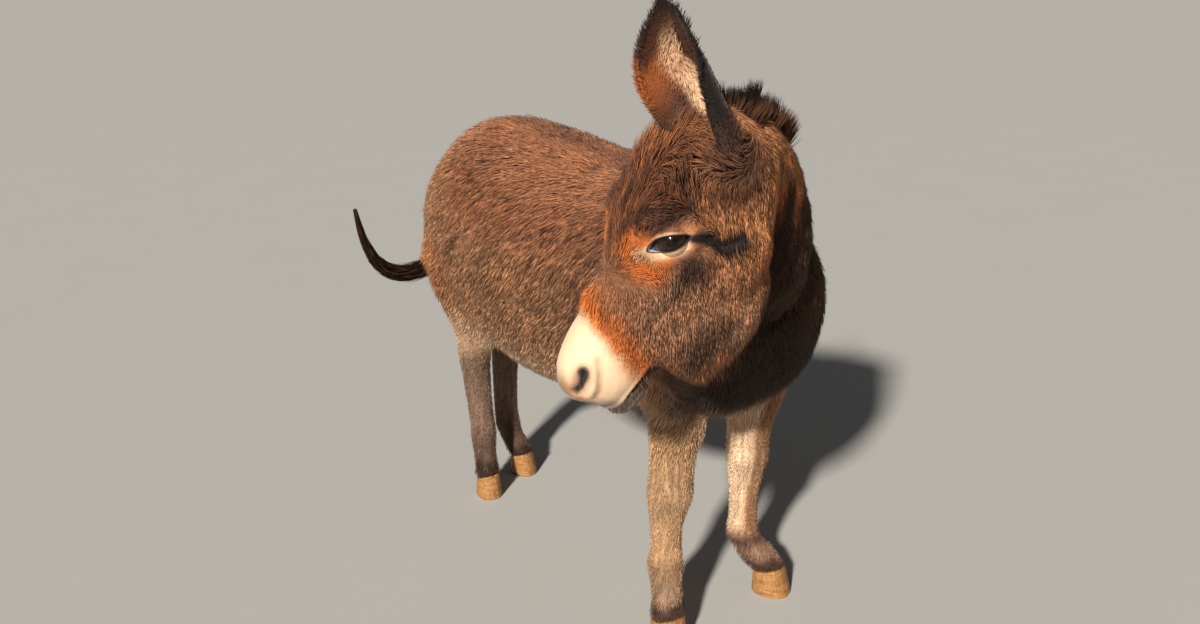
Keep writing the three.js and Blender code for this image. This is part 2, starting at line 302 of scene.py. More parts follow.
def edges_of(mesh):
    """The two points of each edge of a mesh."""
    return read_array(mesh.edges, "vertices", 2, np.int32)


def add_object(name, data):
    """An object in the scene, from a mesh, a lamp or a camera."""
    thing = bpy.data.objects.new(name, data)
    bpy.context.scene.collection.objects.link(thing)
    return thing


def make_piece(name, points, faces):
    """An object from an array of points and an array of equal-sized faces."""
    faces = np.asarray(faces)
    mesh = bpy.data.meshes.new(name)
    mesh.vertices.add(len(points))
    mesh.loops.add(faces.size)
    mesh.polygons.add(len(faces))
    mesh.loops.foreach_set("vertex_index", faces.ravel().astype(np.int32))
    mesh.polygons.foreach_set("loop_start", np.arange(0, faces.size, faces.shape[1], dtype=np.int32))
    mesh.vertices.foreach_set("co", np.asarray(points, np.float32).ravel())
    mesh.update(calc_edges=True)
    mesh.shade_smooth()
    return add_object(name, mesh)


def grid_faces(rows, columns):
    """Quads of a grid whose columns close on themselves."""
    r, c = np.meshgrid(np.arange(rows - 1), np.arange(columns), indexing="ij")
    after = (c + 1) % columns
    quads = [r * columns + c, r * columns + after, (r + 1) * columns + after, (r + 1) * columns + c]
    return np.stack(quads, -1).reshape(-1, 4)


def tube(name, rings):
    """A closed skin over rings of points, (rows, columns, 3), whose first and last rings shrink to a pole."""
    rows, columns = rings.shape[:2]
    faces = grid_faces(rows, columns)
    ring = np.arange(columns)
    after = (ring + 1) % columns
    poles = len(rings.reshape(-1, 3))
    start = np.stack([np.full(columns, poles), after, ring, ring], -1)
    end = np.stack([np.full(columns, poles + 1), ring, after, after], -1) + [[0, *[(rows - 1) * columns] * 3]]
    points = np.concatenate([rings.reshape(-1, 3), rings[[0, -1]].mean(1)])
    triangles = np.concatenate([faces[:, [0, 1, 2]], faces[:, [0, 2, 3]], start[:, :3], end[:, :3]])
    return make_piece(name, points, triangles)


def colour_points(mesh, colours):
    """Stores a linear colour on each point, as the attribute that the skin and hair materials read."""
    layer = mesh.attributes.new("marking", "FLOAT_COLOR", "POINT")
    rgba = np.concatenate([np.clip(colours, 0, 1), np.ones((len(colours), 1))], 1)
    layer.data.foreach_set("color", rgba.astype(np.float32).ravel())


def finish_piece(piece, material, slot, *replaced):
    """Gives a piece its material, and lets it ride and stand for the solids it replaces. Its slot is not
    used.
    """
    piece.data.materials.append(material)
    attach(piece, BODY)
    if replaced:
        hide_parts(*replaced)
    return piece


def remeshed(nodes, voxel, swell):
    """One mesh from copies of CAD nodes, each swollen a little so that neighbours run together."""
    whole = bmesh.new()
    for name in nodes:
        part = bmesh.new()
        part.from_mesh(frame["nodes"][name].data)
        bmesh.ops.remove_doubles(part, verts=part.verts, dist=1e-6)
        mesh = bpy.data.meshes.new(name)
        part.to_mesh(mesh)
        set_points(mesh, points_of(mesh) + swell * normals_of(mesh))
        whole.from_mesh(mesh)
        part.free()
        bpy.data.meshes.remove(mesh)
    source = bpy.data.meshes.new("flesh")
    whole.to_mesh(source)
    whole.free()
    holder = add_object("flesh", source)
    voxels = holder.modifiers.new("Voxels", "REMESH")
    voxels.mode = "VOXEL"
    voxels.voxel_size = voxel
    depsgraph = bpy.context.evaluated_depsgraph_get()
    mesh = bpy.data.meshes.new_from_object(holder.evaluated_get(depsgraph))
    bpy.data.objects.remove(holder)
    return mesh


def relax(mesh, rounds, pull=0.6, push=-0.61, where=None):
    """Taubin smoothing: each point goes towards its neighbours' mean, then nearly as far back."""
    a, b = edges_of(mesh).T
    points = points_of(mesh)
    count = np.bincount(np.concatenate([a, b]), minlength=len(points))[:, None]
    share = 1 if where is None else where[:, None]
    for step in np.tile([pull, push], rounds):
        near = [
            np.bincount(np.concatenate([a, b]), np.concatenate([points[b, k], points[a, k]]), len(points))
            for k in range(3)
        ]
        points = points + step * share * (np.stack(near, 1) / count - points)
    set_points(mesh, points)


def refine(mesh, chosen):
    """Halves the edges between chosen points."""
    marked = chosen[edges_of(mesh)].all(1)
    mesh.vertices.foreach_set("select", np.zeros(len(mesh.vertices), bool))
    mesh.polygons.foreach_set("select", np.zeros(len(mesh.polygons), bool))
    mesh.edges.foreach_set("select", marked)
    work = bmesh.new()
    work.from_mesh(mesh)
    halved = [edge for edge in work.edges if edge.select]
    bmesh.ops.subdivide_edges(work, edges=halved, cuts=1, use_grid_fill=True)
    bmesh.ops.triangulate(work, faces=[face for face in work.faces if len(face.verts) > 4])
    work.to_mesh(mesh)
    work.free()
    mesh.update()


# ---------------------------------------------------------------- the depth and the lie of the coat

# A tuft is two straight lengths, given as shares of its hair. The upper one rises by a share of the lower
# one's angle to the skin. No tuft is taken to stand higher than the last value.
LOWER, UPPER = 0.42, 0.58
UPPER_RISE = 0.35
MOST_HEIGHT = 9 * MM


def face_share(head_points):
    """1 on the head, 0 on the neck and trunk, with a soft change behind the cheeks."""
    x, y, z = head_points.T
    near = smooth(0.19, 0.15, np.abs(x)) * smooth(0.10, 0.0, y + 0.35 * np.minimum(z + 0.05, 0))
    return near * smooth(-0.30, -0.23, z) * smooth(-0.52, -0.5, y)


def behind_muzzle(head_points):
    """How far each point lies behind the edge of the short-haired muzzle, which slants from the nose back to
    the corner of the mouth."""
    _, y, z = head_points.T
    return y + 0.343 + 0.5 * (0.044 - z)


def muzzle_share(head_points):
    """1 on the short-haired muzzle, 0 behind it."""
    return smooth(0.022, -0.022, behind_muzzle(head_points)) * face_share(head_points)


def eye_share(head_points, radius):
    """1 at the slit of the eye, 0 at a radius from it."""
    eye = to_eye(head_points)
    high = 1 + 0.5 * (eye[:, 1] > 0)
    return smooth(radius, 0.5 * radius, np.hypot(eye[:, 0] * 0.75, eye[:, 1] * high))


def under_belly(points, high, low):
    """1 between the fore and the hind legs below the low height, 0 at the legs and above the high one."""
    _, y, z = points.T
    return smooth(high, low, z) * smooth(0.33, 0.28, np.abs(y - 0.02))


def ear_share(head_points):
    """1 where the ears leave the head, falling to 0 at 65 mm from their roots."""
    away = [np.linalg.norm(head_points - np.array(root), axis=1) for root, _, _ in EARS.values()]
    return smooth(0.065, 0.030, np.min(away, axis=0))


def hair_form(points, hair):
    """Length of the hair, its angle to the skin where it leaves it, and how freely it hangs, from 0 to 1. It
    is longest at the poll, round the roots of the ears and under the front of the jaw, shorter down the legs
    but for a light fringe at the fetlocks, and shortest on the muzzle and round the eyes. It hangs free under
    the jaw and a little under the belly."""
    head = to_head(points)
    _, y, z = points.T
    face, muzzle, eye = face_share(head), muzzle_share(head), eye_share(head, 0.045)
    low = smooth(0.50, 0.34, z - 0.10 * smooth(0.25, 0.38, y))
    feather = bump(z, 0.095, 0.022) + 0.7 * bump(z, 0.15, 0.02)
    length = hair * (1 - 0.60 * low) * (1 + 0.25 * feather)
    jaw = smooth(-0.07, -0.15, head[:, 2]) * smooth(-0.375, -0.335, head[:, 1])
    fringe = smooth(-0.27, -0.34, head[:, 1])
    cheek = (23 + jaw * (24 * fringe - 4)) * MM
    nose = (8 + 11 * smooth(-0.345, -0.30, head[:, 1])) * MM
    nose = nose + (cheek - nose) * smooth(0.045, 0.0, head[:, 2]) * smooth(-0.375, -0.31, head[:, 1])
    brow = smooth(-0.26, -0.18, head[:, 1]) * smooth(0.0, 0.05, head[:, 2])
    on_head = nose + ((20 + 26 * smooth(-0.16, -0.06, head[:, 1])) * MM - nose) * brow
    on_head = on_head + (4 * MM - on_head) * muzzle
    on_head = on_head + (4 * MM - on_head) * eye
    collar = ear_share(head)
    on_head = on_head + (42 * MM - on_head) * collar
    length = length + (on_head - length) * face
    rise = 24 - 2 * low + face * (7 * brow - 6 * (1 - brow) - 5 * np.maximum(muzzle, eye))
    poll = smooth(-0.14, -0.06, head[:, 1]) * smooth(0.02, 0.06, head[:, 2]) * face
    rise = np.radians(rise + 16 * smooth(0.09, 0.07, z) + np.maximum(30 * poll, 24 * collar * face))
    belly = under_belly(points, 0.50, 0.42)
    return length, rise, np.maximum(0.9 * jaw * face * (1 - muzzle), 0.3 * belly * (1 - face))


def coat_depth(points, hair):
    """How deep the skin lies under the tips of the coat: the height of a tuft's two straight lengths over the
    skin, up to the most height, or more where the hair hangs free, and less close to the hooves."""
    length, rise, hang = hair_form(points, hair)
    height = length * (LOWER * np.sin(rise) + UPPER * np.sin(UPPER_RISE * rise))
    height = np.minimum(height, MOST_HEIGHT)
    return (height + (0.6 * length - height) * hang) * (1 - 0.6 * smooth(0.085, 0.065, points[:, 2]))


def head_lie(head_points):
    """The way the hair lies on the head, in the head's frame: up the forehead, back over the brows, down the
    nose, and down the temples and cheeks with its own weight. It parts round the eye and stands up round
    the roots of the ears."""
    x, y, z = head_points.T
    side = np.sign(x)
    outer = smooth(0.025, 0.07, np.abs(x))
    up = np.stack([4 * x, 1 + 0 * x, 0.1 + 0 * x], -1)
    over = np.stack([0.25 * side, 0.5 + 0 * x, -0.8 + 0 * x], -1)
    nose = np.stack([0.45 * side, -1 + 0 * x, -0.25 + 0 * x], -1)
    cheek = np.stack([0.08 * side, -0.84 + 0 * x, -0.55 + 0 * x], -1)
    jaw = np.stack([0 * x, -0.86 + 0 * x, -0.50 + 0 * x], -1)
    brow = smooth(-0.29, -0.22, y) * smooth(0.0, 0.045, z) * (1 - outer * smooth(-0.14, -0.09, y))
    lie = cheek + (nose - cheek) * (smooth(0.0, 0.05, z) * smooth(-0.17, -0.24, y))[:, None]
    lie = lie + (up + (over - up) * outer[:, None] - lie) * brow[:, None]
    lie = lie + (jaw - lie) * smooth(-0.09, -0.15, z)[:, None]
    stand = np.stack([0.35 * side, 0.3 + 0 * x, 1 + 0 * x], -1)
    lie = lie + (stand - lie) * 0.85 * ear_share(head_points)[:, None]
    eye = to_eye(head_points)
    ring = unit(np.stack([0.6 * eye[:, 0] + 0.01, eye[:, 1], 0 * x], -1)) @ np.stack(
        [SLIT_ALONG, SLIT_UP, SLIT_OUT])
    ring[:, 0] *= side
    near = 0.75 * eye_share(head_points, 0.06)
    return lie + (ring - lie) * near[:, None]


def body_lie(points):
    """The way the hair lies on neck, trunk and legs: backwards and down, straighter down on the legs, the
    haunches and the neck, and backwards under the belly."""
    x, y, z = points.T
    side = np.sign(x - TRUNK_X)
    flank = smooth(0.93, 0.75, z)
    trunk = np.stack([0.15 * side, 1 + 0 * x, -0.70 - 1.1 * flank], -1)
    down = np.stack([0 * x, 0.12 + 0 * x, -1 + 0 * x], -1)
    neck = np.stack([0.1 + 0 * x, 0.25 + 0 * x, -1 + 0 * x], -1)
    limbs = smooth(0.50, 0.40, z)
    haunch = smooth(0.30, 0.48, y)
    lie = trunk + (down - trunk) * np.maximum(limbs, 0.8 * haunch)[:, None]
    lie = lie + (neck - lie) * smooth(-0.24, -0.36, y)[:, None] * smooth(0.45, 0.6, z)[:, None]
    belly = under_belly(points, 0.47, 0.43)
    back = np.stack([0.1 * side, 1 + 0 * x, -0.1 + 0 * x], -1)
    return lie + (back - lie) * belly[:, None]


def calm_lie(points):
    """The lie of the coat all over, as unit vectors."""
    head = to_head(points)
    face = face_share(head)[:, None]
    return unit(unit(body_lie(points)) * (1 - face) + aim_from_head(unit(head_lie(head))) * face)


def lie_of_coat(points):
    """The lie of the coat all over, swinging a little from lock to lock."""
    face = face_share(to_head(points))[:, None]
    lie = calm_lie(points)
    sway = 0.18 * noise_vectors(points, 0.08, 11) + 0.10 * noise_vectors(points, 0.022, 17)
    return unit(lie + sway * (1 - 0.5 * face))


# ---------------------------------------------------------------- colours and markings


def linear(code):
    """A linear colour from an sRGB hex code."""
    channels = np.array([int(code[k:k + 2], 16) for k in (1, 3, 5)]) / 255
    return np.where(channels <= 0.04045, channels / 12.92, ((channels + 0.055) / 1.055) ** 2.4)


def colour_setting(name, description, code):
    """A colour property whose default is given as a hex code."""
    return FloatVectorProperty(
        name=name, description=description, default=tuple(linear(code)), subtype="COLOR", min=0, max=1)


class DonkeyColours(bpy.types.PropertyGroup):
    """Colours of the coat, skin, horn and eyes."""

    # Besides each thing's own colour, some of these are also laid as painted light and shade: shade,
    # darkened, under the throat, along and under the jaw, and on the outer side of each ear's hollow; black
    # over the outer half of each ear's back and along the crease behind each eye; tan, darkened, round the
    # nostrils, along their folds and over the front of the nose; lip on the front of the upper lip; cream,
    # brightened, inside the legs; and tear as a painted gleam on the wet inner corners of the eyes.
    body: colour_setting("Body", "Main brown of the coat", "#AA7450")
    shade: colour_setting("Shade", "Dark brown of brow, throat, ears, patches and streaks", "#40261A")
    black: colour_setting("Black", "Mane, tail, ear tips and pupils", "#1A100D")
    rust: colour_setting("Rust", "Band round the muzzle, patch by the eye, and buttocks", "#D0722E")
    cream: colour_setting("Cream", "Muzzle, eye rings, belly and inner legs", "#D8B896")
    tan: colour_setting("Tan", "Flank, rump, belly edge, legs and nostrils", "#BC8F66")
    grey: colour_setting("Grey", "Cheeks, chest, knees and hind cannons", "#856A5B")
    tear: colour_setting("Tear", "Wet skin at the inner corners of the eyes", "#B9BEC6")
    pink: colour_setting("Pink", "Skin at the roots of the ears", "#B9826A")
    lip: colour_setting("Lip", "Lips, lids and inside of the nostrils", "#3A3230")
    beige: colour_setting("Beige", "Fore legs and knees", "#C09E72")
    horn: colour_setting("Horn", "Hooves", "#A07242")
    floor: colour_setting("Floor", "Studio floor", "#A3A29E")


class DonkeySizes(bpy.types.PropertyGroup):
    """Sizes of the skin's mesh and of the coat."""

    voxel: FloatProperty(
        name="Voxel", description="Cell of the skin's mesh", default=9 * MM, unit="LENGTH")
    hair: FloatProperty(
        name="Hair length", description="Length of the hair on the trunk", default=34 * MM, unit="LENGTH")
    tufts: IntProperty(
        name="Tufts", description="How many tufts the largest coat pieces have", default=32500, min=100,
        max=33000)


def fields(group):
    """Names of a property group's own properties."""
    return [name for name in group.bl_rna.properties.keys() if name not in ("rna_type", "name")]


def palette(context):
    """The scene's colours by name, as arrays that can be mixed."""
    group = context.scene.donkey_colours
    return SimpleNamespace(**{name: np.array(getattr(group, name)) for name in fields(group)})


def paint(colours, share, colour):
    """Lays a colour over others by a share from 0 to 1."""
    return colours + (np.asarray(colour) - colours) * np.clip(share, 0, 1)[:, None]


def streaks(points, lie, length, width, seed):
    """Noise stretched along the lie of the coat: the place along it counts length / width times less."""
    along = dot(points, lie)
    squeezed = points - lie * along * (1 - width / length)
    return noise(squeezed, width, seed)


def body_markings(points, lie, c):
    """Brown with darker patches and streaks, darker and redder high on the barrel, tan on the flank, the rump
    and most of all the buttocks, greyer low down and on the chest, painted shade under the throat, and pale
    below."""
    x, y, z = points.T
    colours = np.tile(c.body * 1.05, (len(points), 1))
    patch = 0.5 + 0.5 * noise(points, 0.11, 3)
    colours = paint(colours, 0.45 * smooth(0.45, 0.8, patch), c.shade)
    colours = paint(colours, 0.35 * smooth(0.45, 0.1, patch), c.tan)
    grey = np.maximum(smooth(0.5, 0.9, 0.5 + 0.5 * noise(points, 0.15, 5)), 0.9 * smooth(0.70, 0.55, z))
    colours = paint(colours, 0.25 * grey, (c.grey + c.tan) / 2)
    colours = paint(colours, 0.30 * smooth(0.25, 0.42, y) * smooth(0.55, 0.8, z), c.tan)
    colours = paint(colours, 0.35 * smooth(0.85, 0.70, z) * smooth(-0.25, -0.1, y), c.tan * 1.05)
    upper = smooth(0.70, 0.84, z) * smooth(0.42, 0.25, y) * smooth(-0.35, -0.2, y)
    colours = paint(colours, 0.8 * upper, c.body * [0.84, 0.70, 0.60])
    ticks = smooth(0.30, 0.62, streaks(points, lie, 0.040, 0.013, 7))
    flank = smooth(0.58, 0.76, z) * smooth(-0.4, -0.2, y) * smooth(0.48, 0.28, y)
    colours = paint(colours, 0.85 * ticks * flank * smooth(0.25, 0.6, patch), c.shade)
    colours = paint(colours, 0.16 * smooth(0.2, 0.7, streaks(points, lie, 0.05, 0.008, 8)), c.tan)
    ridge = bump(x - TRUNK_X, 0, 0.022) * smooth(0.86, 0.9, z) * smooth(-0.3, -0.2, y)
    cross = bump(y, -0.20, 0.025) * smooth(0.62, 0.75, z)
    colours = paint(colours, 0.45 * np.maximum(ridge, 0.6 * cross), c.shade)
    buttock = smooth(0.30, 0.43, y) * smooth(0.75, 0.62, z) * smooth(0.4, 0.5, z)
    colours = paint(colours, 0.80 * buttock, (c.tan + c.rust) / 2)
    belly = smooth(0.60, 0.50, z + 0.015 * noise(points, 0.04, 9))
    within = smooth(0.0, 0.3, 1 - np.abs(y) / 0.6)
    colours = paint(colours, 0.70 * belly * within, (c.tan * 2 + c.cream) * 0.4)
    colours = paint(colours, 0.6 * smooth(0.535, 0.485, z) * within, c.cream)
    chest = smooth(-0.30, -0.40, y) * smooth(0.68, 0.56, z)
    colours = paint(colours, 0.75 * chest, c.grey)
    colours = paint(colours, 0.30 * chest * smooth(0.56, 0.48, z), c.cream)
    # Painted shade: the throat and the front of the neck below the jaw, darkened where the head shades them.
    throat = smooth(-0.19, -0.25, to_head(points)[:, 2]) * smooth(0.97, 0.88, z) * smooth(-0.36, -0.44, y)
    colours = paint(colours, 0.90 * throat * smooth(0.44, 0.54, z), c.shade * 0.35)
    return leg_markings(colours, points, c)


def leg_markings(colours, points, c):
    """Tan fore legs and paler hind legs, cream inside, brightened there past the cream as painted light,
    grey-brown at the knees, the fore fetlocks and the hind cannons, with a dark ring round each fore fetlock
    and a dark band over each hoof."""
    x, y, z = points.T
    h = z + 0.010 * noise(points, 0.03, 13)
    left = x > TRUNK_X
    fore = smooth(0.0, -0.1, y)
    limb = smooth(0.52, 0.46, h)
    warm = c.tan * 0.80 + c.beige * 0.40
    colours = paint(colours, limb * fore * np.where(left, 0.6, 0.85), warm)
    colours = paint(colours, limb * fore * left * 0.75, c.body)
    colours = paint(colours, limb * (1 - fore) * 0.85, (c.tan + c.cream) * 0.55)
    knee = smooth(0.36, 0.32, h) * smooth(0.22, 0.27, h) * fore
    colours = paint(colours, knee * np.where(left, 0.25, 0.40), (c.grey + c.beige) / 2)
    patch = blob(points, [TRUNK_X + 0.125, -0.37, 0.25], [0.03, 0.04, 0.035])
    colours = paint(colours, 0.8 * patch, warm)
    colours = paint(colours, (1 - fore) * smooth(0.42, 0.35, h) * 0.8, (c.grey * 2 + c.shade) / 3)
    colours = paint(colours, (1 - fore) * smooth(0.20, 0.12, h) * 0.55, c.shade)
    # Cream inside the legs, most on the left fore leg: their pale hair, brightened past the cream as painted
    # light.
    inner = np.where(left, smooth(0.106, 0.092, x - TRUNK_X), smooth(-0.102, -0.082, x - TRUNK_X))
    inner = inner * np.where(left, 1, 0.6) * (1 - (1 - fore) * smooth(0.42, 0.36, h))
    colours = paint(colours, 0.95 * limb * inner * smooth(0.12, 0.15, h), c.cream * 1.35)
    colours = paint(colours, 0.6 * fore * smooth(0.15, 0.12, h), c.grey)
    ring = np.where(left, bump(h, 0.115, 0.011), 0.6 * bump(h, 0.150, 0.014)) * fore
    coronet = smooth(0.098, 0.084, h + 0.012 * left)
    return paint(colours, np.maximum(0.75 * ring, 0.9 * coronet), c.shade * 0.85)


def face_markings(head, lie, c):
    """Dark brown brow, grey-brown cheek, rusty behind and below, painted shade along and under the jaw, and
    dark behind the ear. A rust band goes round the cream muzzle, whose nostrils and lips are dark, with
    painted shade round the nostrils, along their folds, over the front of the nose and on the front of the
    upper lip. The eye has cream edges, a rust patch at its inner corner, a painted gleam on the wet skin
    there, dark ones over it and under it, and painted black shadow along the crease behind it."""
    x, y, z = head.T
    eye = to_eye(head)
    share, reach = slit_place(eye)
    front = (eye[:, 2] > -0.03) & (np.hypot(eye[:, 0], eye[:, 1]) < 0.12)
    colours = np.tile(c.body, (len(head), 1))
    mottle = streaks(head, lie, 0.045, 0.009, 21)
    brow = smooth(-0.30, -0.2, y) * smooth(0.0, 0.05, z)
    colours = paint(colours, 0.78 * brow, c.shade * [1.2, 0.82, 0.55])
    colours = paint(colours, 0.70 * brow * smooth(0.0, 0.4, mottle), c.shade * 0.7)
    colours = paint(colours, 0.25 * brow * smooth(0.2, 0.6, -mottle), c.rust)
    poll = smooth(-0.095, -0.045, y) * smooth(0.05, 0.085, z)
    colours = paint(colours, 0.4 * poll, (c.rust + c.tan) / 2)
    cheek = smooth(0.04, 0.0, z) * smooth(-0.33, -0.26, y)
    colours = paint(colours, 0.5 * cheek * smooth(-0.22, -0.14, y), (c.rust + c.tan) / 2)
    colours = paint(colours, 0.65 * cheek * smooth(0.02, -0.06, y + 0.17), (c.grey * 1.5 + c.tan) / 2)
    low_cheek = cheek * smooth(-0.31, -0.24, y) * smooth(-0.01, -0.05, z) * smooth(-0.15, -0.11, z)
    colours = paint(colours, 0.5 * low_cheek, (c.rust + 2 * c.tan) * 0.36)
    colours = paint(colours, 0.20 * cheek * smooth(0.1, 0.6, mottle), c.rust)
    colours = paint(colours, 0.55 * cheek * smooth(0.10, 0.45, -mottle), c.shade)
    # Painted shade: a dark band along the jaw, under the front of the cheek.
    jaw_band_shade = bump(z, -0.105, 0.03) * smooth(-0.36, -0.33, y) * smooth(-0.22, -0.27, y)
    colours = paint(colours, 0.8 * jaw_band_shade, c.shade * 0.8)
    fringe = smooth(-0.12, -0.16, z) * smooth(0.0, 0.5, noise(head, 0.03, 25))
    colours = paint(colours, 0.45 * fringe, c.rust)
    # Painted shade under the jaw, darkest beneath it.
    under = smooth(0.06, 0.03, np.abs(x)) * smooth(-0.14, -0.18, z) + smooth(-0.205, -0.235, z)
    colours = paint(colours, 0.92 * np.minimum(under, 1) * smooth(-0.32, -0.24, y), c.shade * 0.35)
    behind_ear = blob(one_side(head), [0.088, -0.015, -0.025], [0.055, 0.085, 0.065])
    colours = paint(colours, 0.85 * smooth(0.2, 0.8, behind_ear), c.shade * 0.75)
    edge = behind_muzzle(head) + 0.007 * noise(head, 0.02, 23)
    band = smooth(0.060, 0.022, edge) * (0.82 + 0.1 * smooth(0.0, 0.05, z))
    colours = paint(colours, band, c.rust * [1.0, 0.95, 0.75])
    patch = blob(eye, [-0.042, -0.018, 0], [0.042, 0.036, 0.2])
    colours = paint(colours, 0.9 * smooth(0.2, 0.65, patch), c.rust)
    colours = paint(colours, 1.2 * blob(eye, [0.016, -0.048, 0], [0.030, 0.024, 0.2]), c.shade)
    colours = paint(colours, 0.85 * blob(eye, [-0.002, 0.034, 0], [0.036, 0.015, 0.2]), c.shade)
    ends = smooth(-0.046, -0.030, eye[:, 0]) * smooth(0.036, 0.016, eye[:, 0])
    below = bump(eye[:, 1], -0.0165, 0.0055) * ends * smooth(0.03, 0.0, eye[:, 0])
    above = bump(share * reach - reach, 3.2 * MM, 1.6 * MM) * (eye[:, 1] > 0)
    above = above * smooth(-0.034, -0.022, eye[:, 0]) * smooth(0.018, 0.006, eye[:, 0])
    colours = paint(colours, np.maximum(0.95 * below, 0.45 * above) * front, c.cream)
    # Painted shadow: black along the crease behind the eye, widening towards its end.
    crease, along = line_distance(eye * [1, 1, 0], CREASE)
    colours = paint(colours, 1.4 * bump(crease, 0, (6 + 12 * along) * MM) * front, c.black)
    low = smooth(0.02, -0.05, z)
    colours = paint(colours, smooth(0.012 + 0.012 * low, -0.012 - 0.02 * low, edge), c.cream)
    folded = one_side(head)
    hole, far = line_distance(folded, NOSTRIL)
    # Painted shade in darkened tan: over the front of the nose, and round each nostril.
    tan = blob(folded, [0.012, -0.450, 0.024], [0.04, 0.036, 0.05])
    colours = paint(colours, 0.9 * smooth(0.15, 0.8, tan), c.tan * 0.38)
    colours = paint(colours, 0.6 * smooth(0.024, 0.008, hole), c.tan * 0.5)
    # Painted shade along the fold beside each nostril, darker towards its lower end.
    fold, down = line_distance(folded, NOSTRIL_FOLD)
    colours = paint(colours, (0.25 + 0.65 * down) * bump(fold, 0, 7 * MM), c.tan * 0.35)
    # Lip colour over the front of the upper lip: partly its dark skin, partly painted shade.
    front_lip_and_shade = smooth(0.005, -0.03, z) * smooth(-0.420, -0.445, y)
    colours = paint(colours, 0.7 * front_lip_and_shade, c.lip)
    wide = (14 - 6 * far) * MM
    colours = paint(colours, smooth(wide, 0.35 * wide, hole), c.lip * 0.45)
    mouth, _ = line_distance(folded, MOUTH)
    rise = folded[:, 2] - np.interp(-folded[:, 1], -MOUTH[:, 1], MOUTH[:, 2])
    lips = smooth(0.004, -0.002, rise) * smooth(-0.345, -0.365, y)
    colours = paint(colours, 0.85 * lips, c.lip)
    colours = paint(colours, 0.8 * lips * smooth(0.022, 0.010, mouth), c.lip)
    colours = paint(colours, bump(mouth, 0, 4 * MM) * smooth(-0.34, -0.36, y), c.lip * 0.5)
    mouth_corner = blob(folded, MOUTH[0] + [0.004, 0.004, -0.006], [0.03, 0.015, 0.018])
    colours = paint(colours, 0.9 * mouth_corner, c.black)
    under_lid = smooth(2.0, 1.6, share) * (eye[:, 1] < 0.002) * smooth(0.030, 0.018, eye[:, 0]) * front
    colours = paint(colours, 0.85 * under_lid, (c.cream + c.tan) / 2)
    rim = smooth(1.16, 1.08, share) * front
    colours = paint(colours, rim, c.lip * 0.7)
    # The wet inner corner of the eye in pale blue-grey: partly its wet skin, partly a painted reflection on
    # it.
    inner_corner_gleam = rim * smooth(-0.017, -0.023, eye[:, 0]) * smooth(1.0, 0.9, share)
    return paint(colours, 0.9 * inner_corner_gleam, c.tear)


def markings(points, c):
    """The colour of the coat at each point, in lighter and darker streaks along its lie."""
    head = to_head(points)
    face = face_share(head)[:, None]
    lie = calm_lie(points)
    colours = body_markings(points, lie, c) * (1 - face) + face_markings(head, lie @ HEAD_TURN, c) * face
    streaked = 0.36 * streaks(points, lie, 0.040, 0.006, 29) + 0.20 * streaks(points, lie, 0.020, 0.003, 31)
    return colours * (1 + streaked * (1 - 0.85 * muzzle_share(head)))[:, None]


# ---------------------------------------------------------------- materials


def add_node(tree, kind, settings=None, links=None):
    """Adds a node, sets its properties and sockets by name, and links its inputs from others' outputs."""
    node = tree.nodes.new(kind)
    for name, value in (settings or {}).items():
        if isinstance(name, str) and hasattr(node, name):
            setattr(node, name, value)
        else:
            node.inputs[name].default_value = value
    for name, output in (links or {}).items():
        tree.links.new(output, node.inputs[name])
    return node


def surface(name, settings):
    """A material with one Principled shader, whose even values are set on its own sockets."""
    material = bpy.data.materials.new(name)
    material.use_nodes = True
    tree = material.node_tree
    tree.nodes.clear()
    shader = add_node(tree, "ShaderNodeBsdfPrincipled", settings)
    add_node(tree, "ShaderNodeOutputMaterial", links={"Surface": shader.outputs["BSDF"]})
    return material, tree, shader


def noise_at(tree, cell, stretch=(1, 1, 1), detail=3.0):
    """Noise with cells of a real size, read at the point's own place, and stretched by dividing the place."""
    place = add_node(tree, "ShaderNodeTexCoord")
    scaled = add_node(tree, "ShaderNodeMapping", {"Scale": stretch}, {"Vector": place.outputs["Object"]})
    grain = add_node(
        tree, "ShaderNodeTexNoise", {"Scale": 1 / cell, "Detail": detail},
        {"Vector": scaled.outputs["Vector"]})
    return grain.outputs["Fac"]


def marking_colour(tree, shader, cell, amount):
    """The stored marking, made lighter and darker by noise, as the shader's colour."""
    marking = add_node(tree, "ShaderNodeAttribute", {"attribute_name": "marking"})
    level = add_node(
        tree, "ShaderNodeMapRange", {"To Min": 1 - amount, "To Max": 1 + amount},
        {"Value": noise_at(tree, cell)})
    shaded = add_node(
        tree, "ShaderNodeHueSaturation",
        links={"Color": marking.outputs["Color"], "Value": level.outputs["Result"]})
    tree.links.new(shaded.outputs["Color"], shader.inputs["Base Color"])


def raise_surface(tree, shader, height, strength, depth):
    """Bump from a height that goes from 0 to 1 over a real depth."""
    bumped = add_node(tree, "ShaderNodeBump", {"Strength": strength, "Distance": depth}, {"Height": height})
    tree.links.new(bumped.outputs["Normal"], shader.inputs["Normal"])


def guard_hair():
    """Guard hair: keratin with a scaly cuticle, so a broad soft gleam and a fuzz of light at grazing
    angles."""
    material, tree, shader = surface(
        "guard_hair",
        {"Roughness": 0.60, "Specular IOR Level": 0.14, "IOR": 1.55, "Sheen Weight": 0.05,
         "Sheen Roughness": 0.5})
    marking_colour(tree, shader, 8 * MM, 0.15)
    return material


def coarse_hair():
    """Hair of mane and tail: thick, coarse and black-brown, with a broad gleam weaker than the coat's."""
    material, tree, shader = surface(
        "coarse_hair", {"Roughness": 0.62, "Specular IOR Level": 0.10, "IOR": 1.55})
    marking_colour(tree, shader, 12 * MM, 0.2)
    return material


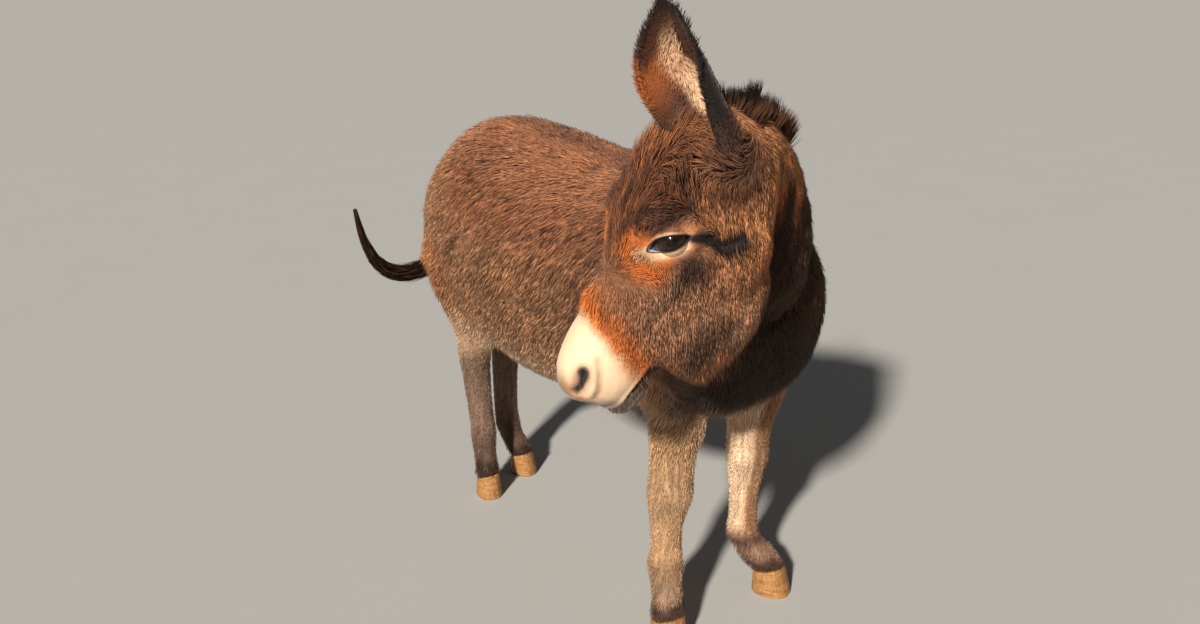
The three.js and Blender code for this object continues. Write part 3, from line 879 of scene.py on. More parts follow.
def haired_hide():
    """Short-haired hide: the flat velvet of muzzle and lids, and the underfur below the coat. Its bump is
    drawn coarser than real hair roots are, 1.2 mm apart, so that it shows."""
    material, tree, shader = surface(
        "haired_hide",
        {"Roughness": 0.62, "Specular IOR Level": 0.25, "Sheen Weight": 0.15, "Sheen Roughness": 0.4})
    marking_colour(tree, shader, 3 * MM, 0.14)
    raise_surface(tree, shader, noise_at(tree, 1.2 * MM, detail=2.0), 0.35, 0.6 * MM)
    return material


def hoof_horn():
    """Hoof horn: grown downwards in rings a few millimetres apart, dull and darker in its grooves."""
    horn = palette(bpy.context).horn
    material, tree, shader = surface("hoof_horn", {"Roughness": 0.55, "Specular IOR Level": 0.3})
    rings = noise_at(tree, 5 * MM, (0.15, 0.15, 1))
    fibres = noise_at(tree, 2.5 * MM, (1, 1, 0.1), 4.0)
    both = add_node(tree, "ShaderNodeMath", {"operation": "MULTIPLY"}, {0: rings, 1: fibres})
    ramp = add_node(tree, "ShaderNodeValToRGB", links={"Fac": both.outputs["Value"]})
    low, high = ramp.color_ramp.elements
    low.position, low.color = 0.12, (*(horn * 0.5), 1)
    high.position, high.color = 0.38, (*np.minimum(horn * 1.15, 1), 1)
    tree.links.new(ramp.outputs["Color"], shader.inputs["Base Color"])
    raise_surface(tree, shader, both.outputs["Value"], 0.5, 0.8 * MM)
    return material


def wet_eye():
    """A living eye: dark brown iris under a wet, clear cornea that gives one sharp gleam."""
    material, tree, shader = surface(
        "wet_eye",
        {"Roughness": 0.25, "IOR": 1.38, "Specular IOR Level": 0.25, "Coat Weight": 0.6,
         "Coat Roughness": 0.03, "Coat IOR": 1.34})
    marking = add_node(tree, "ShaderNodeAttribute", {"attribute_name": "marking"})
    tree.links.new(marking.outputs["Color"], shader.inputs["Base Color"])
    return material


def painted_floor():
    """Pale painted board: matt, with a faint unevenness."""
    pale = palette(bpy.context).floor
    material, tree, shader = surface("painted_floor", {"Roughness": 0.85, "Specular IOR Level": 0.15})
    ramp = add_node(tree, "ShaderNodeValToRGB", links={"Fac": noise_at(tree, 400 * MM)})
    low, high = ramp.color_ramp.elements
    low.color, high.color = (*(pale * 0.96), 1), (*pale, 1)
    tree.links.new(ramp.outputs["Color"], shader.inputs["Base Color"])
    return material


def shared(make):
    """The material that a function makes, made the first time it is asked for."""
    return bpy.data.materials.get(make.__name__) or make()


# ---------------------------------------------------------------- skin


def sculpt_muzzle(head, out):
    """Moves points of the face in or out along their normals: nostrils and their folds, lips, chin, the slope
    under the nostrils, the bone over the eye, the ridge of the cheek, the hollow in front of it, and the
    crease behind the eye."""
    folded = one_side(head)
    hole, share = line_distance(folded, NOSTRIL)
    wide = (5.2 + 6.5 * np.sin(np.pi * np.clip(share * 0.9 + 0.1, 0, 1))) * MM
    push = -16 * MM * np.exp(-((hole / wide) ** 2)) + 0.8 * MM * bump(hole, 2.4 * wide, 1.5 * wide)
    fold, _ = line_distance(folded, NOSTRIL_FOLD)
    push = push - 3.6 * MM * bump(fold, 0, 5 * MM)
    mouth, _ = line_distance(folded, MOUTH)
    push = push - 6.5 * MM * bump(mouth, 0, 2.6 * MM) + 2.4 * MM * bump(mouth, 9 * MM, 5 * MM)
    push = push + 4 * MM * blob(folded, [0, -0.415, -0.088], [0.03, 0.03, 0.02])
    push = push - 9 * MM * blob(folded, [0.035, -0.450, -0.005], [0.04, 0.035, 0.03])
    push = push + 5 * MM * blob(folded, [0.066, -0.150, 0.075], [0.02, 0.045, 0.02])
    push = push + 4 * MM * blob(folded, [0.088, -0.250, -0.002], [0.02, 0.06, 0.012])
    push = push - 4 * MM * blob(folded, [0.062, -0.300, 0.028], [0.02, 0.06, 0.02])
    eye = to_eye(head)
    crease, _ = line_distance(eye * [1, 1, 0], CREASE)
    push = push - 4.5 * MM * bump(crease, 0, 3.6 * MM) * (eye[:, 2] > -0.035)
    return head + out * push[:, None]


def sculpt_eyes(head):
    """Lays the lids on the eyeball. Outside the slit the skin rests on a ball one lid thicker than the eye.
    Inside it the skin is drawn out to the rim, turned over it and led in behind the eyeball, or, at the inner
    corner, down to a shallow floor."""
    eye = to_eye(head)
    rows = np.flatnonzero((np.linalg.norm(eye, axis=1) < 0.075) & (eye[:, 2] > -0.02))
    side = np.where(head[rows, 0] < 0, -1.0, 1.0)
    e = eye[rows]
    share, reach = slit_place(e)
    inside = share < 1
    rim = SLIT_MIDDLE + (e[:, :2] - SLIT_MIDDLE) / np.maximum(share, 0.02)[:, None]
    drawn = SLIT_MIDDLE + (rim - SLIT_MIDDLE) * np.interp(share, [0, 0.5, 1], [0, 0.93, 1])[:, None]
    plane = np.where(inside[:, None], drawn, e[:, :2])
    ball = EYE_RADIUS + LID
    dome = np.sqrt(np.maximum(ball**2 - (plane**2).sum(1), 0))
    resting = np.maximum(dome, CORNER_HEIGHT)
    over_ball = smooth(-0.031, -0.021, e[:, 0])
    sunk = np.interp(share, [0, 0.5, 0.72, 0.88, 1], np.array([14, 9, 4.2, 1.2, 0]) * MM)
    sunk = sunk * (0.3 + 0.7 * over_ball)
    outside = np.maximum(share - 1, 0) * reach
    cling = smooth(0.018 + 0.012 * smooth(0.0, -0.01, e[:, 1]), 0.001, outside) * (e[:, 2] > -0.01)
    cling = np.where(inside, 1, cling)
    fold = bump(outside, 7.5 * MM, 1.6 * MM) * smooth(0.0, 0.006, e[:, 1])
    fold = fold * smooth(0.036, 0.02, np.abs(e[:, 0]))
    height = e[:, 2] + (resting - e[:, 2]) * cling - sunk - 1.8 * MM * fold
    out = head.copy()
    out[rows] = from_eye(np.column_stack([plane, height]), side)
    return out


def near_features(points, eye_reach, lip_reach):
    """Points of the face within one distance of an eye, or another of the nostrils and the mouth."""
    head = to_head(points)
    folded = one_side(head)
    eye = np.linalg.norm(folded - EYE_IN_HEAD, axis=1) < eye_reach
    lips = np.minimum(line_distance(folded, MOUTH)[0], line_distance(folded, NOSTRIL)[0]) < lip_reach
    return (eye | lips) & (face_share(head) > 0.5)


def on_face(mesh):
    """1 at a mesh's points on the head, 0 on the neck and trunk."""
    return face_share(to_head(points_of(mesh)))


def build_skin(sizes):
    """One mesh of all the flesh: voxels, smoothed, sunk by the depth of the coat, made finer on the face and
    finest at eyes, nostrils and mouth, and then given the forms of the face. Also returns where its points
    were before that."""
    mesh = remeshed(FLESH + ["eye_left", "eye_right"], sizes.voxel, 0.4 * MM)
    mesh.name = "skin"
    relax(mesh, 7)
    points = points_of(mesh)
    set_points(mesh, points - coat_depth(points, sizes.hair)[:, None] * normals_of(mesh))
    relax(mesh, 4)
    refine(mesh, on_face(mesh) > 0.3)
    relax(mesh, 3, where=on_face(mesh))
    for eye_reach, lip_reach in ((0.055, 0.026), (0.045, 0.013)):
        refine(mesh, near_features(points_of(mesh), eye_reach, lip_reach))
        relax(mesh, 2, where=on_face(mesh))
    points = points_of(mesh)
    plain = points.copy()
    face = on_face(mesh) > 0.02
    head = to_head(points[face])
    head = sculpt_muzzle(head, normals_of(mesh)[face] @ HEAD_TURN)
    points[face] = from_head(sculpt_eyes(head))
    set_points(mesh, points)
    mesh.shade_smooth()
    return mesh, plain


class DONKEY_OT_skin(bpy.types.Operator):
    """Makes one skin under the coat in place of the solids of flesh, with lids, nostrils and lips"""

    bl_idname = "donkey.skin"
    bl_label = "Skin"

    def execute(self, context):
        mesh, points = build_skin(context.scene.donkey_sizes)
        skin = add_object("skin", mesh)
        head = to_head(points)
        bare = np.maximum(muzzle_share(head), eye_share(head, 0.036))
        colours = markings(points, palette(context))
        # Skin away from the muzzle and eyes darkened: partly the darker underfur, partly painted shade under
        # the coat.
        colour_points(mesh, colours * (0.55 + 0.45 * bare)[:, None])
        finish_piece(skin, shared(haired_hide), "coat", *FLESH)
        return {"FINISHED"}


# ---------------------------------------------------------------- eyes and hooves


def eyeball_colours(local, c):
    """Dark iris with paler rays round a level, oval pupil, and a dark rim, in radii of the eyeball."""
    spread = np.hypot(local[:, 0], local[:, 1])
    front = local[:, 2] > 0
    colours = np.tile(c.lip * 0.5, (len(local), 1))
    iris = smooth(0.80, 0.72, spread) * front
    heading = np.arctan2(local[:, 1], local[:, 0])
    rays = 0.5 + 0.5 * noise(np.column_stack([6 * heading, spread, spread]), 0.3)
    colours = paint(colours, iris, c.shade * 0.35)
    colours = paint(colours, iris * rays * smooth(0.35, 0.7, spread) * 0.5, c.shade * 0.7)
    pupil = smooth(1.1, 0.9, np.hypot(local[:, 0] / 0.42, local[:, 1] / 0.24)) * front
    return paint(colours, pupil, c.black * 0.3)


class DONKEY_OT_eyes(bpy.types.Operator):
    """Makes the eyes: balls with a bulging cornea, dark iris and level pupil"""

    bl_idname = "donkey.eyes"
    bl_label = "Eyes"

    def execute(self, context):
        theta = np.linspace(0, np.pi, 42)[1:-1, None]
        phi = np.linspace(0, 2 * np.pi, 64, endpoint=False)[None, :]
        level = [np.sin(theta) * np.cos(phi), np.sin(theta) * np.sin(phi)]
        ball = np.stack([*level, np.cos(theta) + 0 * phi], -1)
        cornea = 1 + 0.05 * smooth(0.75, 0.0, np.sin(theta)) * (np.cos(theta) > 0)
        rings = ball * (cornea * (EYE_RADIUS - 0.3 * MM))[..., None]
        for side, name in ((1, "eye_left"), (-1, "eye_right")):
            turned = rings if side > 0 else rings[:, ::-1]
            placed = from_head(from_eye(turned.reshape(-1, 3), side)).reshape(turned.shape)
            eye = tube(f"{name}_ball", placed)
            local = to_eye(to_head(points_of(eye.data))) / EYE_RADIUS
            colour_points(eye.data, eyeball_colours(local, palette(context)))
            finish_piece(eye, shared(wet_eye), "eye", name)
        return {"FINISHED"}


class DONKEY_OT_hooves(bpy.types.Operator):
    """Makes the hooves: upright horn walls with growth rings, on flat soles"""

    bl_idname = "donkey.hooves"
    bl_label = "Hooves"

    def execute(self, context):
        for foot in FEET:
            mesh = remeshed([f"{foot}_hoof"], 2.5 * MM, 0.2 * MM)
            mesh.name = f"{foot}_horn"
            relax(mesh, 5)
            points, normals = points_of(mesh), normals_of(mesh)
            wall = smooth(0.8, 0.4, np.abs(normals[:, 2]))
            forward = points[:, 1] - points[:, 1].mean()
            slant = points[:, 2] + 0.25 * forward + 1.5 * MM * noise(points, 0.03, 41)
            ridges = 0.5 * MM * (np.sin(2 * np.pi * slant / (7 * MM)) + noise(points, 0.012, 43))
            points = points + (ridges * wall)[:, None] * normals
            points[:, 2] = np.maximum(points[:, 2], 0)
            set_points(mesh, points)
            mesh.shade_smooth()
            hoof = add_object(mesh.name, mesh)
            finish_piece(hoof, shared(hoof_horn), "horn", f"{foot}_hoof")
        return {"FINISHED"}


# ---------------------------------------------------------------- ears

# Each ear: its root in the head's frame, its way from root to tip in the shared frame, and the heading in
# degrees that its cup is turned to. Both bow sideways at mid height. From root to tip they have a radius and
# an angle that their arc goes through. The shell lies inside by the depth of its coat.
EARS = {
    "ear_left": ((0.065, -0.016, 0.005), (-0.072, 0.057, 0.208), -107),
    "ear_right": ((-0.065, -0.016, 0.005), (-0.042, 0.030, 0.208), -40),
}
EAR_BOW = np.array([-0.026, 0.020, 0])
EAR_WIDTH = np.array([31, 45, 56, 58, 50, 34, 11]) * MM
EAR_CURL = np.radians([320, 276, 238, 205, 180, 160, 140])
EAR_COAT = 4 * MM


def ear_axes(name, t):
    """The ear's middle line and its directions along, across and out of the hollow, at each t from 0 to 1.
    Below 0 the line goes straight down into the head."""
    root, lean, heading = EARS[name]
    base, lean = from_head(root), np.array(lean)
    spine = [base, base + lean / 2 + EAR_BOW, base + lean]
    along = tangent_of(spine, np.clip(t, 1e-3, 1 - 1e-3), 1e-3)
    turn = math.radians(heading)
    across = np.array([math.cos(turn), -math.sin(turn), 0])
    across = unit(across - along * (along @ across)[:, None])
    below = np.minimum(t, 0)[:, None] * lean
    return curve(spine, t) + below, along, across, np.cross(along, across)


def ear_shell(name):
    """A leaf-shaped cup. At each step up the ear its outside is an arc of the curl's angle, and its inside
    the same arc less a wall that thins to the rims. The last tenth rounds off to the tip. Returns the rings,
    and for each point whether it is inside, its share of the way up, and its share of the arc away from the
    middle, from -0.5 to 0.5."""
    rounding = np.sin(np.linspace(0, np.pi / 2, 10)[1:-1])
    t = np.concatenate([np.linspace(-0.16, 0.9, 56), 1 - 0.1 * (1 - rounding)])
    full = np.sqrt(np.clip(1 - (np.maximum(t - 0.9, 0) / 0.1) ** 2, 0.01, 1))[:, None]
    turn = np.linspace(0, 2, 72, endpoint=False)
    share = np.where(turn < 1, turn, 2 - turn) - 0.5
    bend = curve(EAR_CURL, t)[:, None] * share
    width = (curve(EAR_WIDTH, t) * (1 + 5 * np.minimum(t, 0)))[:, None] * full - EAR_COAT
    wall = (4.5 * MM * np.sqrt(np.cos(np.pi * share)) + 0.8 * MM) * full
    inner = (width - wall) * smooth(-0.05, 0.3, t)[:, None]
    reach = np.maximum(np.where(turn < 1, width, inner), 1.0 * MM)
    middle, _, across, out = ear_axes(name, t)
    rings = middle[:, None] + across[:, None] * (reach * np.sin(bend))[..., None]
    rings = rings - out[:, None] * (0.8 * reach * np.cos(bend))[..., None]
    inside = np.broadcast_to((turn >= 1).astype(float), reach.shape)
    return rings, inside, np.broadcast_to(t[:, None], reach.shape), share + 0 * reach


def ear_markings(points, inside, t, share, c):
    """Dark brown back with a black tip and rims, and black over the outer half of the back, partly painted
    shade.
    Inside, the front edge is orange-brown with a dark patch low down, the top is dark, the outer side is
    darkened as painted shade, the middle is pale with one dark mark, and the root pink. The front edge has
    the positive share."""
    colours = np.tile(c.shade * 0.9, (len(points), 1))
    colours = paint(colours, 0.6 * smooth(0.4, 0.0, t) * smooth(-0.35, -0.1, share), c.body)
    # Black over the outer half of the ear: partly the dark hair of its back, partly painted shade.
    colours = paint(colours, 0.9 * smooth(0.0, -0.2, share) * (0.2 + 0.8 * smooth(0.02, 0.2, t)), c.black)
    colours = paint(colours, inside * 0.85, c.rust * 0.48 + c.shade * 0.4)
    top = smooth(0.56, 0.70, t + 0.06 * noise(points, 0.02, 51) + 0.1 * np.maximum(share, 0))
    low = bump(t, 0.28, 0.12) * smooth(0.06, 0.16, share)
    colours = paint(colours, inside * np.maximum(0.9 * top, 0.9 * low), c.shade * 0.9)
    centre = 0.10 * smooth(0.3, 0.65, t) + 0.03 * noise(points, 0.02, 53)
    middle = smooth(0.18, 0.09, np.abs(share - centre)) * smooth(0.84, 0.60, t)
    # Painted shade: the outer side of the hollow, beyond the pale middle, darkened.
    lateral_shade = smooth(-0.10, -0.17, share - centre) * smooth(0.30, 0.45, t)
    colours = paint(colours, 0.9 * inside * lateral_shade, c.shade * 0.8)
    pale = (c.cream + c.tan) / 2
    colours = paint(colours, (0.75 + 0.2 * smooth(0.5, 0.2, t)) * inside * middle, pale)
    colours = paint(colours, 0.5 * inside * middle * smooth(0.45, 0.2, t), c.cream)
    colours = paint(colours, 0.8 * inside * bump(t, 0.46, 0.04) * bump(share, 0.02, 0.04), c.shade)
    colours = paint(colours, inside * bump(t, 0.05, 0.06) * bump(share, -0.1, 0.25) * 0.6, c.pink)
    front, back = smooth(0.40, 0.47, share), smooth(-0.36, -0.43, share)
    rim = front * smooth(0.55, 0.75, t) + back * smooth(0.0, 0.2, t)
    tip = smooth(0.80, 0.93, t + 0.05 * noise(points, 0.02, 51))
    return paint(colours, np.maximum(0.85 * rim, 0.95 * tip), c.black)


class DONKEY_OT_ears(bpy.types.Operator):
    """Makes the ears: long leaf-shaped cups with thin rims"""

    bl_idname = "donkey.ears"
    bl_label = "Ears"

    def execute(self, context):
        for name in EARS:
            rings, *places = ear_shell(name)
            ear = tube(f"{name}_shell", rings)
            places = [np.concatenate([place.ravel(), place[[0, -1]].mean(1)]) for place in places]
            for label, values in zip(("inside", "up", "across"), places):
                layer = ear.data.attributes.new(label, "FLOAT", "POINT")
                layer.data.foreach_set("value", values.astype(np.float32))
            colours = ear_markings(points_of(ear.data), *places, palette(context))
            colour_points(ear.data, 0.7 * colours)
            finish_piece(ear, shared(haired_hide), "coat", name)
        return {"FINISHED"}


# ---------------------------------------------------------------- hair

# How wide each strand's patch is in its map, and how many whiskers there are.
PATCH = 0.003
WHISKERS = 240


def strand_faces(count, rings):
    """Triangles of three-sided strands that start and end in a point, with the outside facing out."""
    i = np.arange(3)
    after = (i + 1) % 3
    root = np.stack([0 * i, 1 + after, 1 + i], 1)
    faces = [root]
    for k in range(rings - 1):
        low = 1 + 3 * k
        faces.append(np.stack([low + i, low + after, low + 3 + after], 1))
        faces.append(np.stack([low + i, low + 3 + after, low + 3 + i], 1))
    last = 1 + 3 * (rings - 1)
    faces.append(np.stack([last + i, last + after, 0 * i + last + 3], 1))
    faces = np.concatenate(faces)
    return (faces[None] + np.arange(count)[:, None, None] * (3 * rings + 2)).reshape(-1, 3)


def strands(name, paths, widths, out, colours, places):
    """Tufts of hair as one mesh. Each path runs from its root over one or more rings to its tip. A ring has
    three corners round the path, flattened along out. Colours follow the path. Each strand has a patch in the
    map OFBake, at its place."""
    count, steps = paths.shape[:2]
    rings = steps - 2
    along = unit(paths[:, 2:] - paths[:, :-2])
    side = unit(np.cross(np.broadcast_to(out[:, None], along.shape), along))
    lift = np.cross(along, side)
    angle = np.radians([90, 210, 330])
    corner = side[:, :, None] * np.cos(angle)[:, None] + 0.6 * lift[:, :, None] * np.sin(angle)[:, None]
    ring = paths[:, 1:-1, None] + widths[..., None, None] * corner
    points = np.concatenate([paths[:, :1], ring.reshape(count, 3 * rings, 3), paths[:, -1:]], 1)
    spread = np.repeat(np.arange(steps), [1, *[3] * rings, 1])
    faces = strand_faces(count, rings)
    piece = make_piece(name, points.reshape(-1, 3), faces)
    colour_points(piece.data, colours[:, spread].reshape(-1, 3))
    patch = np.stack([np.r_[0.5, np.tile([0.5, 0, 1], rings), 0.5], spread / (steps - 1)], 1)
    patch[1:-1, 1] += np.tile([0.1, 0, 0], rings)
    spots = (places[:, None] + PATCH * (patch - 0.5)).reshape(-1, 2)
    layer = piece.data.uv_layers.new(name="OFBake")
    layer.data.foreach_set("uv", spots[faces.ravel()].astype(np.float32).ravel())
    return piece


def inset(share):
    """A share from 0 to 1 moved a hundredth in from the edges of a map."""
    return 0.01 + 0.98 * share


def unwrap(points, start, end, part=0, parts=1):
    """Places on a cylinder unrolled round the line from start to end: the angle round it and the way along
    it, in one of several strips side by side."""
    axis = unit(np.subtract(end, start))
    across = unit(np.cross(axis, [0.3, 0.1, 1] if abs(axis[2]) < 0.9 else [0, 1, 0]))
    offset = points - np.asarray(start)
    angle = np.arctan2(offset @ np.cross(axis, across), offset @ across) / (2 * np.pi) + 0.5
    along = offset @ axis
    along = (along - along.min()) / (np.ptp(along) + 1e-9)
    flat = 0.004 + 0.992 * np.stack([angle, along], 1)
    return np.stack([(part + flat[:, 0]) / parts, flat[:, 1]], 1)


def at_roots(values, chosen, weights):
    """Values on a mesh's points carried to roots, by the roots' weights on their triangles' corners."""
    weights = weights.reshape(weights.shape + (1,) * (values.ndim - 1))
    return (values[chosen] * weights).sum(1)


def sample(mesh, density, count, rng):
    """Roots spread over a mesh's triangles by area times density, with smooth normals. Also gives, for each
    root, its triangle's corners and its weights on them."""
    mesh.calc_loop_triangles()
    corners = read_array(mesh.loop_triangles, "vertices", 3, np.int32)
    points = points_of(mesh)
    a, b, c = (points[corners[:, k]] for k in range(3))
    area = np.linalg.norm(np.cross(b - a, c - a), axis=1) * density[corners].mean(1)
    total = np.cumsum(area)
    draws = (np.arange(count) + rng.random(count)) / count * total[-1]
    chosen = corners[np.minimum(np.searchsorted(total, draws), len(total) - 1)]
    u, v = rng.random((2, count))
    folded = u + v > 1
    u, v = np.where(folded, 1 - u, u), np.where(folded, 1 - v, v)
    weights = np.stack([1 - u - v, u, v], 1)
    normals = unit(at_roots(normals_of(mesh), chosen, weights))
    return at_roots(points, chosen, weights), normals, chosen, weights


def gathered(roots, tips, cell, pull):
    """Tips drawn towards the middle of their lock: locks are cells of a warped grid of roots."""
    warped = roots + 0.35 * cell * noise_vectors(roots, 2.5 * cell, 61)
    ids = np.floor(warped / cell).astype(np.int64)
    _, lock = np.unique(ids @ [1, 10_007, 100_003_001], return_inverse=True)
    count = np.bincount(lock)
    middle = np.stack([np.bincount(lock, tips[:, k]) / count for k in range(3)], 1)
    return tips + pull * (middle[lock] - tips), lattice(ids, 67)


def tuft_paths(roots, normals, lie, form, cell, rng):
    """Tufts that leave the skin at an angle, rise, and then bend down along the lie of the coat. Where hair
    hangs free it follows the lie instead, leaning off the skin. The tips of a lock draw together."""
    length, rise, hang = (part[:, None] for part in form)
    outward = dot(lie, normals)
    flat = unit(unit(lie - normals * outward) + 0.11 * rng.normal(size=roots.shape))
    fall = unit(lie + normals * (0.28 - np.minimum(outward, 0)) + 0.09 * rng.normal(size=roots.shape))
    length = length * rng.uniform(0.7, 1.2, (len(roots), 1))
    rise = rise * rng.uniform(0.7, 1.3, (len(roots), 1))
    low, high = (flat * np.cos(angle) + normals * np.sin(angle) for angle in (rise, UPPER_RISE * rise))
    start = roots - 1.0 * MM * normals
    ring = start + LOWER * length * unit(low + (fall - low) * hang)
    tip = ring + UPPER * length * unit(high + (fall - high) * hang)
    pulled, lock = gathered(roots, tip, cell, 0.32)
    ring = ring + 0.35 * (pulled - tip)
    return np.stack([start, ring, pulled], 1), lock


# How wide the locks are that hair gathers into, on the body, the head, the ears and the mane.
LOCK, HEAD_LOCK, EAR_LOCK, MANE_LOCK = 11 * MM, 7 * MM, 5 * MM, 12 * MM

# Hair keeps clear of the lids, by a share of the slit's reach, and of the nostrils.
LID_CLEAR, NOSTRIL_CLEAR = 1.17, 6 * MM

# The coat's pieces: which region of the skin each covers, and its share of the largest pieces' tufts.
COAT_SHARES = {
    "head_left": 0.8, "head_right": 1.0, "neck": 1.0, "trunk_front": 1.0, "trunk_middle": 1.0,
    "trunk_rear": 1.0, "fore_legs": 0.62, "hind_legs": 0.55,
}
EAR_HAIR_SHARE = 0.33


def line_of(name, axis):
    """The line through the middle of a node's box along an axis."""
    low, high = (np.array(corner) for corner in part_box(name))
    middle, half = (low + high) / 2, np.zeros(3)
    half[axis] = (high - low)[axis] / 2
    return middle - half, middle + half


def region_of(points):
    """The coat piece that each point belongs to."""
    head = to_head(points)
    _, y, z = points.T
    region = np.select([y < -0.12, y < 0.16], ["trunk_front", "trunk_middle"], "trunk_rear").astype("<U12")
    region[(z < 0.5) & (y < -0.2)] = "fore_legs"
    region[(z < 0.5) & (y > 0.26)] = "hind_legs"
    region[(z > 0.62) & (y < -0.25)] = "neck"
    face = face_share(head) > 0.5
    region[face & (head[:, 0] >= 0)] = "head_left"
    region[face & (head[:, 0] < 0)] = "head_right"
    return region


def coat_places(region, roots):
    """Places on the map OFBake for a coat piece's roots."""
    if region.startswith("head"):
        return unwrap(roots, POLL, from_head([0, -0.46, -0.04]))
    if region == "neck":
        return unwrap(roots, (TRUNK_X, -0.2, 0.68), (TRUNK_X - 0.2, -0.52, 0.98))
    if region.startswith("trunk"):
        return unwrap(roots, *line_of("trunk", 1))
    places = np.zeros((len(roots), 2))
    left = roots[:, 0] > TRUNK_X
    for part, rows in enumerate((~left, left)):
        leg = region.replace("_legs", ("_right_leg", "_left_leg")[part])
        places[rows] = unwrap(roots[rows], *line_of(leg, 2), part, 2)
    return places


def hair_colours(base, lock, rng):
    """Colours from root to tip: dark at the root, partly the darker underfur and partly painted shade among
    the hair, palest at the tip, and a little different on each tuft.
    """
    level = (0.80 + 0.26 * lock + 0.16 * rng.random(len(base)))[:, None, None]
    # Root, middle and tip: the dark root stands partly for painted shade down among the hair.
    steps = np.array([0.58, 0.95, 1.10])[None, :, None]
    return base[:, None] * level * steps


def grow_coat(skin, region, context):
    """One piece of the coat: tufts on one region of the skin."""
    sizes, colours = context.scene.donkey_sizes, palette(context)
    rng = np.random.default_rng(sorted(COAT_SHARES).index(region))
    points = points_of(skin)
    head = to_head(points)
    length, _, _ = hair_form(points, sizes.hair)
    share, _ = slit_place(to_eye(head))
    clear = 1 - (share < LID_CLEAR) * (np.linalg.norm(one_side(head) - EYE_IN_HEAD, axis=1) < 0.05)
    holes = line_distance(one_side(head), NOSTRIL)[0] < NOSTRIL_CLEAR
    density = (region_of(points) == region) * clear * ~holes / (length + 4 * MM) ** 0.8
    count = int(sizes.tufts * COAT_SHARES[region])
    roots, normals, _, _ = sample(skin, density, count, rng)
    lie = lie_of_coat(roots)
    form = hair_form(roots, sizes.hair)
    cell = HEAD_LOCK if region.startswith("head") else LOCK
    paths, lock = tuft_paths(roots, normals, lie, form, cell, rng)
    widths = (0.26 * MM + 0.018 * form[0]) * rng.uniform(0.8, 1.2, count)
    tones = hair_colours(markings(roots, colours), lock, rng)
    coat = strands(f"coat_{region}", paths, widths[:, None], normals, tones, coat_places(region, roots))
    return finish_piece(coat, shared(guard_hair), "coat")


class DONKEY_OT_coat(bpy.types.Operator):
    """Grows the winter coat over the skin: closed tufts that follow its lie, gathered into locks"""

    bl_idname = "donkey.coat"
    bl_label = "Coat"

    def execute(self, context):
        for region in COAT_SHARES:
            grow_coat(bpy.data.objects["skin"].data, region, context)
        return {"FINISHED"}


def read_layer(mesh, label):
    """A number stored on each point of a mesh."""
    return read_array(mesh.attributes[label].data, "value", 1)[:, 0]


class DONKEY_OT_ear_hair(bpy.types.Operator):
    """Grows the short hair on the ears, the pale tufts inside them and the dark fringe on their rims"""

    bl_idname = "donkey.ear_hair"
    bl_label = "Ear hair"

    def execute(self, context):
        sizes, colours = context.scene.donkey_sizes, palette(context)
        for part, name in enumerate(EARS):
            rng = np.random.default_rng(20 + part)
            ear = bpy.data.objects[f"{name}_shell"].data
            up, across, inside = (read_layer(ear, label) for label in ("up", "across", "inside"))
            rim = smooth(0.40, 0.48, np.abs(across))
            density = (1 + 2.5 * rim + 1.0 * inside) * (up > -0.09) * (1 - inside * (up < 0.09))
            count = int(EAR_HAIR_SHARE * sizes.tufts)
            roots, normals, chosen, weights = sample(ear, density, count, rng)
            up, across, inside = (at_roots(values, chosen, weights) for values in (up, across, inside))
            _, along, side, out = ear_axes(name, up)
            edge = np.sign(across)[:, None]
            rim = smooth(0.40, 0.48, np.abs(across))
            lie = along - 0.5 * inside[:, None] * edge * side * smooth(0.1, 0.3, up)[:, None]
            lie = lie + rim[:, None] * (0.9 * edge * side + 0.8 * out)
            furry = inside * bump(across, 0.02, 0.2) * smooth(0.0, 0.12, up) * smooth(0.9, 0.6, up)
            base = smooth(0.22, 0.02, up) * (1 - inside)
            length = (9 + 6 * rim + 15 * furry + 11 * base) * MM
            rise = np.radians(18 + 12 * rim + 18 * furry + 8 * base)
            lie = unit(lie + 0.15 * noise_vectors(roots, 0.02, 23))
            paths, lock = tuft_paths(roots, normals, lie, (length, rise, 0 * rise), EAR_LOCK, rng)
            widths = (0.30 * MM + 0.024 * length) * rng.uniform(0.8, 1.2, count)
            tones = ear_markings(roots, (inside > 0.5).astype(float), up, across, colours)
            places = unwrap(roots, *[ear_axes(name, np.array([t]))[0][0] for t in (0, 1)])
            tones = hair_colours(tones, lock, rng)
            hair = strands(f"{name}_hair", paths, widths[:, None], normals, tones, places)
            finish_piece(hair, shared(guard_hair), "coat")
        return {"FINISHED"}


